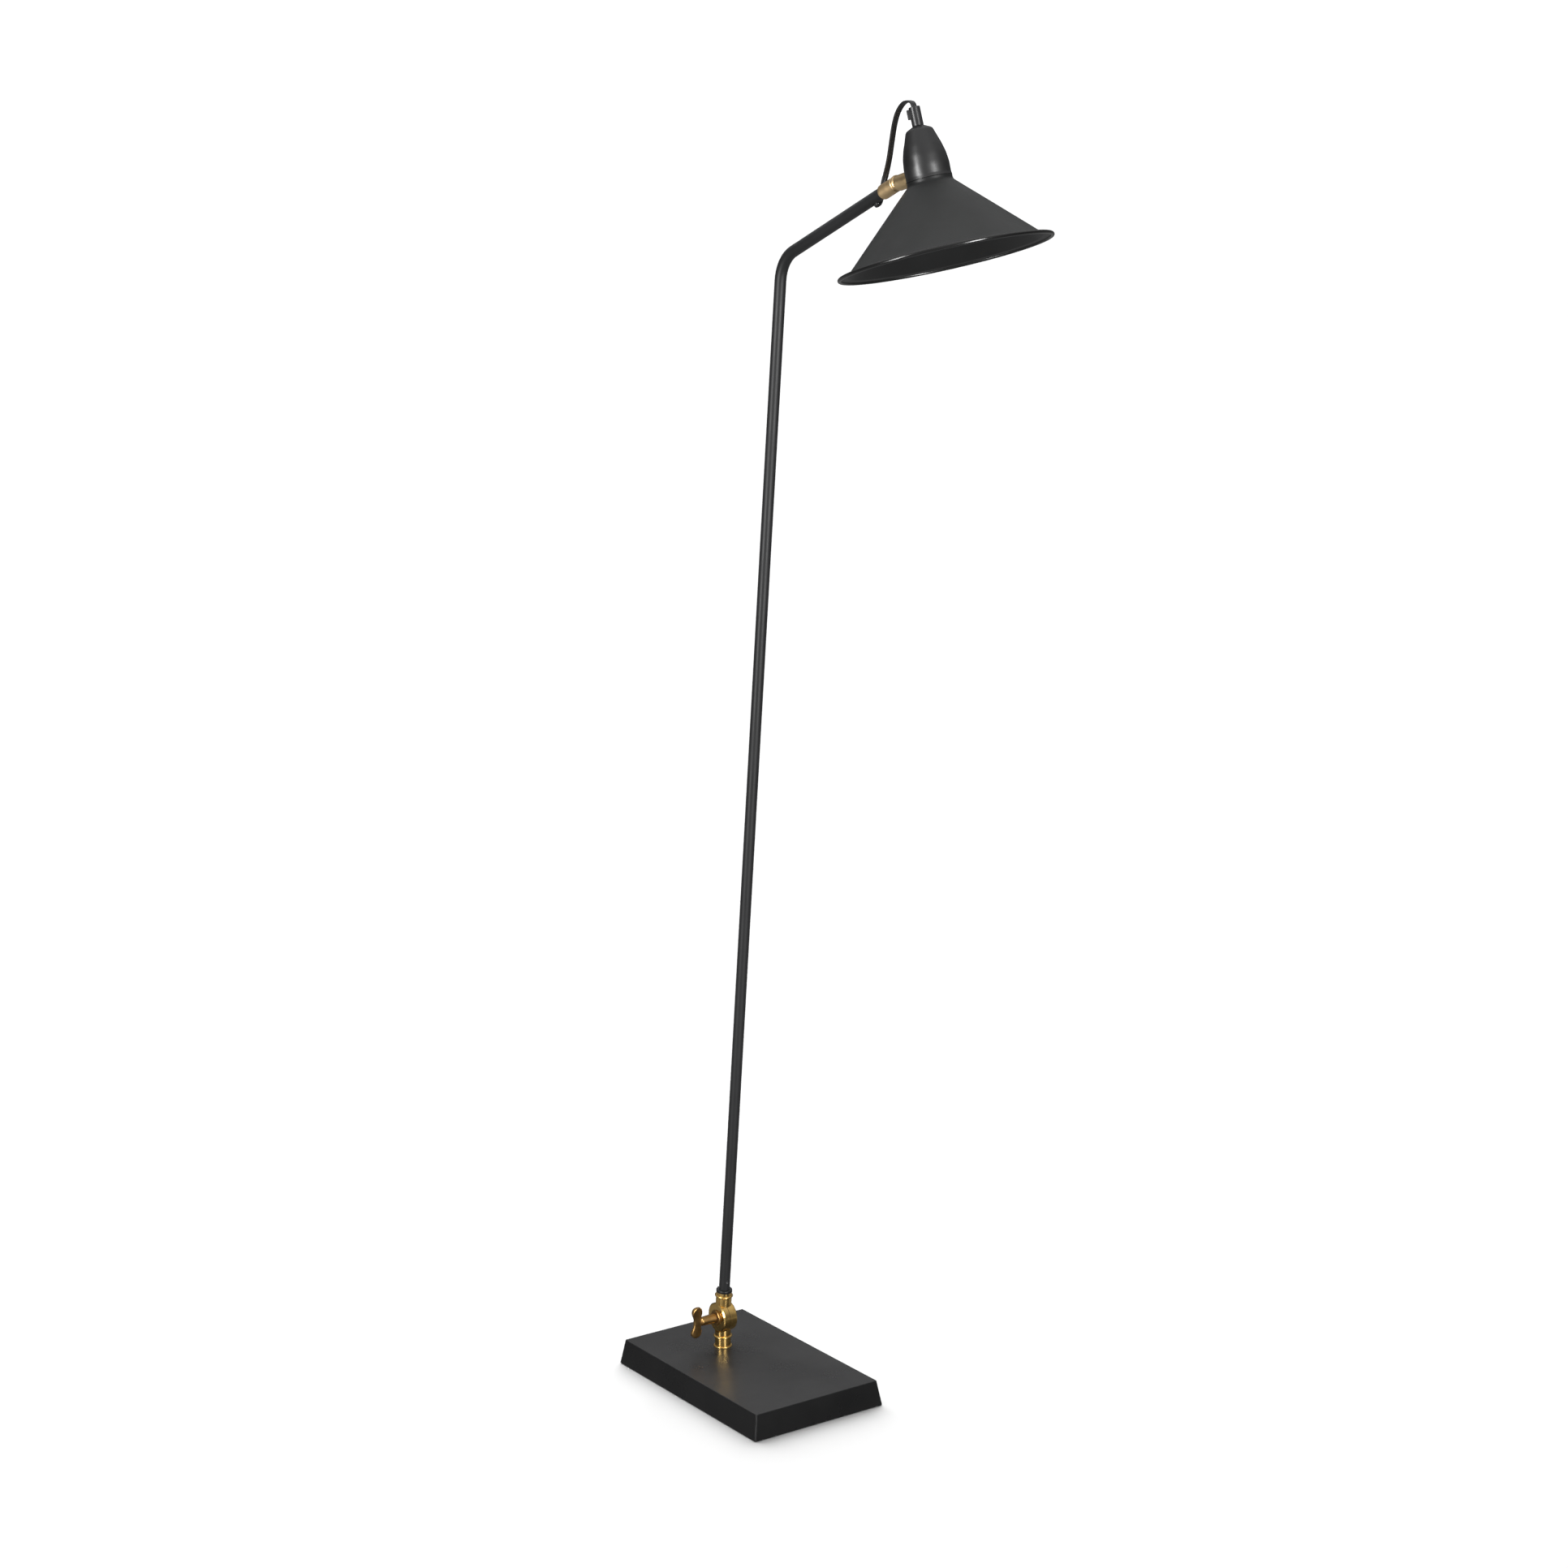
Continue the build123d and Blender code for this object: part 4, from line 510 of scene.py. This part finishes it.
def thread_r(a, z):
    turn = z / SHELL_PITCH - a / (2 * math.pi)
    return 13.32 + 0.26 * (1 + math.sin(2 * math.pi * turn)) * smooth01((z - SHELL_LOW) / 1.5) * smooth01((SHELL_HIGH - z) / 1.5)


def threaded_shell():
    segs, rings = 96, 88
    verts, faces = [], []
    for wall in (0.0, 0.3):
        for j in range(rings + 1):
            z = SHELL_LOW + (SHELL_HIGH - SHELL_LOW) * j / rings
            for k in range(segs):
                a = 2 * math.pi * k / segs
                r = (thread_r(a, z) + wall) / 1000
                verts.append(head_at(r * math.cos(a), r * math.sin(a), z / 1000))
    half = (rings + 1) * segs
    for j in range(rings):
        for k in range(segs):
            k1 = (k + 1) % segs
            q = (j * segs + k, j * segs + k1, (j + 1) * segs + k1, (j + 1) * segs + k)
            faces.append(q)
            faces.append(tuple(v + half for v in reversed(q)))
    for k in range(segs):
        k1 = (k + 1) % segs
        faces.append((k, half + k, half + k1, k1))
        t = rings * segs
        faces.append((t + k1, t + half + k1, t + half + k, t + k))
    return finish_mesh(new_mesh("shell_thread", verts, faces, SHELL_BRASS), 60.0)


shell = threaded_shell()
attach(shell, "head")
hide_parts("screw_shell")


# cast pieces: a copy of the frame's solid, remeshed finely and softened as a casting is
def cast_copy(node, name, body, mat, voxel, rounds, shift=None):
    me = NODES[node].data.copy()
    ob = bpy.data.objects.new(name, me)
    scene.collection.objects.link(ob)
    ob.matrix_world = NODES[node].matrix_world
    rm = ob.modifiers.new("voxels", "REMESH")
    rm.mode = "VOXEL"
    rm.voxel_size = voxel
    rm.use_smooth_shade = True
    sm = ob.modifiers.new("soften", "SMOOTH")
    sm.factor = 0.5
    sm.iterations = rounds
    bpy.context.view_layer.update()
    out = bpy.data.meshes.new_from_object(ob.evaluated_get(bpy.context.evaluated_depsgraph_get()))
    ob.modifiers.clear()
    ob.data = out
    bpy.data.meshes.remove(me)
    out.name = name
    out.materials.clear()
    out.materials.append(mat)
    if shift:
        for v in out.vertices:
            v.co = shift(v.co.copy())
    out.polygons.foreach_set("use_smooth", [True] * len(out.polygons))
    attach(ob, body)
    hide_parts(node)
    return ob


def wing_shift(co):
    """The lobes are a little thicker than the waist and bow away from the knuckle at their tips."""
    up = Vector((math.sin(math.radians(5.0)), 0, math.cos(math.radians(5.0))))
    side_d = Y.cross(up)
    d = co - PIVOT
    if d.y > -0.035:
        return co
    h = d.dot(up) / 0.019
    t = d.dot(side_d)
    k = 1.0 + 0.30 * smooth01(abs(h) * 1.3 - 0.2) - 0.10 * smooth01((abs(h) - 0.8) * 5)
    wave = 0.00012 * math.sin(h * 7.0 + t * 900.0)
    return co + side_d * (t * (k - 1.0)) + Y * (wave - 0.0005 * h * h)


cast_copy("wing_handle", "wing_cast", "wing_screw", SHADED_WING_BRASS, 0.00036, 22, wing_shift)


# ---------------------------------------------------------------------------
# free cord: a flat twin flex from the grip over to the slot under the arm
# ---------------------------------------------------------------------------
CORD_ROUTE = [
    (0.29964, -0.00493, 1.45416), (0.29854, -0.0053, 1.45851), (0.2905, -0.0038, 1.4598), (0.2809, -0.0032, 1.4589),
    (0.2697, -0.0022, 1.4499), (0.2619, -0.0006, 1.437), (0.2538, 0.0024, 1.4187), (0.2443, 0.0062, 1.3986),
    (0.22992, 0.0092, 1.37384), (0.22871, 0.0084, 1.36469), (0.22972, 0.0081, 1.36013), (0.2313, 0.0042, 1.35602),
    (0.23138, 0.0003, 1.35584), (0.22983, 0.0, 1.36039),
]
FLEX_W, FLEX_T = 0.0060, 0.0026


def nurbs_line(points, resolution):
    cu = bpy.data.curves.new("route", "CURVE")
    cu.dimensions = "3D"
    cu.resolution_u = resolution
    sp = cu.splines.new("NURBS")
    sp.points.add(len(points) - 1)
    for p, co in zip(sp.points, points):
        p.co = (*co, 1.0)
    sp.order_u = 3
    sp.use_endpoint_u = True
    ob = bpy.data.objects.new("route", cu)
    scene.collection.objects.link(ob)
    bpy.context.view_layer.update()
    me = bpy.data.meshes.new_from_object(ob.evaluated_get(bpy.context.evaluated_depsgraph_get()))
    line = [v.co.copy() for v in me.vertices]
    bpy.data.meshes.remove(me)
    bpy.data.objects.remove(ob)
    bpy.data.curves.remove(cu)
    return line


def flex_profile(n=40):
    """Outline of two cores side by side with a groove between them: (across, thick) in metres."""
    out = []
    for i in range(n):
        a = 2 * math.pi * i / n
        c, s = math.cos(a), math.sin(a)
        x = FLEX_W / 2 * math.copysign(abs(c) ** 0.85, c)
        y = FLEX_T / 2 * math.copysign(abs(s) ** 0.62, s)
        y *= 1 - 0.26 * math.exp(-((x / 0.0005) ** 2))
        out.append((x, y))
    return out


line = nurbs_line(CORD_ROUTE, 24)
if (line[0] - Vector(CORD_ROUTE[0])).length > (line[-1] - Vector(CORD_ROUTE[0])).length:
    line.reverse()
tangents = [(line[min(i + 1, len(line) - 1)] - line[max(i - 1, 0)]).normalized() for i in range(len(line))]


def flex_width_dir(i):
    """The flat side faces across the lamp on the loop and turns to lie along the arm where it goes round it."""
    n = (line[i] - CORNER).dot(ARM_N)
    w = smooth01((0.030 - n) / 0.026) if i > len(line) // 3 else 0.0
    d = Vector((0.30, 0.954, 0.0)).lerp(ARM_D, w)
    d = d - tangents[i] * d.dot(tangents[i])
    return d.normalized()


def flex_mesh(name, lo, hi):
    prof = flex_profile()
    verts, faces = [], []
    for i in range(lo, hi + 1):
        w = flex_width_dir(i)
        t = tangents[i].cross(w).normalized()
        verts += [line[i] + w * x + t * y for x, y in prof]
    n = len(prof)
    rings = hi - lo + 1
    for r in range(rings - 1):
        for k in range(n):
            a, b = r * n + k, r * n + (k + 1) % n
            faces.append((a, b, b + n, a + n))
    faces.append(tuple(reversed(range(n))))
    faces.append(tuple((rings - 1) * n + k for k in range(n)))
    ob = new_mesh(name, verts, faces, PVC)
    bm = bmesh.new()
    bm.from_mesh(ob.data)
    bmesh.ops.recalc_face_normals(bm, faces=bm.faces)
    bm.to_mesh(ob.data)
    bm.free()
    return ob


mid = min(range(len(line)), key=lambda i: (line[i] - Vector(CORD_ROUTE[6])).length)
upper = flex_mesh("head_cord_upper", 0, mid)
lower = flex_mesh("head_cord_lower", mid, len(line) - 1)


CORD_SPLIT = line[mid].copy()
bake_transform(upper)
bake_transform(lower)
for ob in (upper, lower):
    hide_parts("head_cord")

# ---------------------------------------------------------------------------
# floor and light
# ---------------------------------------------------------------------------
scene.view_settings.view_transform = "Standard"

floor_me = bpy.data.meshes.new("floor")
floor_me.from_pydata([(-60, -60, 0), (60, -60, 0), (60, 60, 0), (-60, 60, 0)], [], [(0, 1, 2, 3)])
floor = bpy.data.objects.new("floor", floor_me)
scene.collection.objects.link(floor)
fm = Mat("floor_white")
fm.set(color=(0.60, 0.60, 0.60), rough=0.95, spec=0.0)
floor_me.materials.append(fm.mat)
floor.visible_glossy = False
floor.visible_diffuse = False

# studio surroundings: white behind the lamp to the camera, and for the light a dim wall under a bright ceiling
world = bpy.data.worlds.new("studio")
scene.world = world
world.use_nodes = True
wt = world.node_tree
bg = wt.nodes["Background"]
bg.inputs["Strength"].default_value = 1.0
geo = wt.nodes.new("ShaderNodeTexCoord")
xyz = wt.nodes.new("ShaderNodeSeparateXYZ")
wt.links.new(geo.outputs["Generated"], xyz.inputs[0])
sky = wt.nodes.new("ShaderNodeValToRGB")
rescale = wt.nodes.new("ShaderNodeMath")
rescale.operation = "MULTIPLY_ADD"
rescale.inputs[1].default_value = 0.5
rescale.inputs[2].default_value = 0.5
wt.links.new(xyz.outputs["Z"], rescale.inputs[0])
wt.links.new(rescale.outputs[0], sky.inputs["Fac"])
SKY = [(0.0, 0.34), (0.36, 0.22), (0.47, 0.10), (0.52, 0.06), (0.62, 0.10), (0.80, 0.42), (1.0, 0.75)]
while len(sky.color_ramp.elements) < len(SKY):
    sky.color_ramp.elements.new(0.5)
for el, (pos, v) in zip(sky.color_ramp.elements, SKY):
    el.position = pos
    el.color = (v, v, v, 1)
# the room is lighter on the camera's side
lit = wt.nodes.new("ShaderNodeVectorMath")
lit.operation = "DOT_PRODUCT"
wt.links.new(geo.outputs["Generated"], lit.inputs[0])
lit.inputs[1].default_value = (0.815, -0.580, 0.10)
lift = wt.nodes.new("ShaderNodeMapRange")
lift.interpolation_type = "SMOOTHSTEP"
wt.links.new(lit.outputs["Value"], lift.inputs[0])
for i, v in ((1, 0.15), (2, 0.95), (3, 0.0), (4, 0.20)):
    lift.inputs[i].default_value = v
both = wt.nodes.new("ShaderNodeMix")
both.data_type = "RGBA"
both.blend_type = "ADD"
both.inputs[0].default_value = 1.0
wt.links.new(sky.outputs["Color"], both.inputs[6])
wt.links.new(lift.outputs[0], both.inputs[7])
wt.links.new(both.outputs[2], bg.inputs["Color"])
seen = wt.nodes.new("ShaderNodeBackground")
seen.inputs["Color"].default_value = (1, 1, 1, 1)
seen.inputs["Strength"].default_value = 1.2
lp = wt.nodes.new("ShaderNodeLightPath")
mx = wt.nodes.new("ShaderNodeMixShader")
wt.links.new(lp.outputs["Is Camera Ray"], mx.inputs[0])
wt.links.new(bg.outputs[0], mx.inputs[1])
wt.links.new(seen.outputs[0], mx.inputs[2])
wt.links.new(mx.outputs[0], wt.nodes["World Output"].inputs["Surface"])


def aim(ob, target):
    ob.rotation_euler = (Vector(target) - ob.location).to_track_quat("-Z", "Y").to_euler()


def softbox(name, place, target, size, power, color=(1, 1, 1)):
    li = bpy.data.lights.new(name, "AREA")
    li.shape = "RECTANGLE"
    li.size, li.size_y = size
    li.energy = power
    li.color = color
    ob = bpy.data.objects.new(name, li)
    scene.collection.objects.link(ob)
    ob.location = place
    aim(ob, target)
    ob.visible_diffuse = False
    return ob


side = Vector((0.580, 0.815, 0))
front = Vector((0.815, -0.580, 0))
sun = bpy.data.lights.new("sky_panel", "SUN")
sun.energy = 5.6
sun.angle = math.radians(75)
sun_ob = bpy.data.objects.new("sky_panel", sun)
scene.collection.objects.link(sun_ob)
sun_ob.location = (front * -1.0 - side * 0.16) * 4 + UP * 4.0
aim(sun_ob, (0, 0, 0))
sun_ob.visible_glossy = False

# two tall boxes, one each side of the camera
mid_p = Vector((0.15, 0, 0.9))
softbox("box_left", mid_p + front * 1.75 - side * 1.95 + UP * 0.2, mid_p, (0.50, 2.2), 85)
softbox("box_right", mid_p + front * 2.25 + side * 1.45 + UP * 0.2, mid_p, (0.62, 2.2), 105)
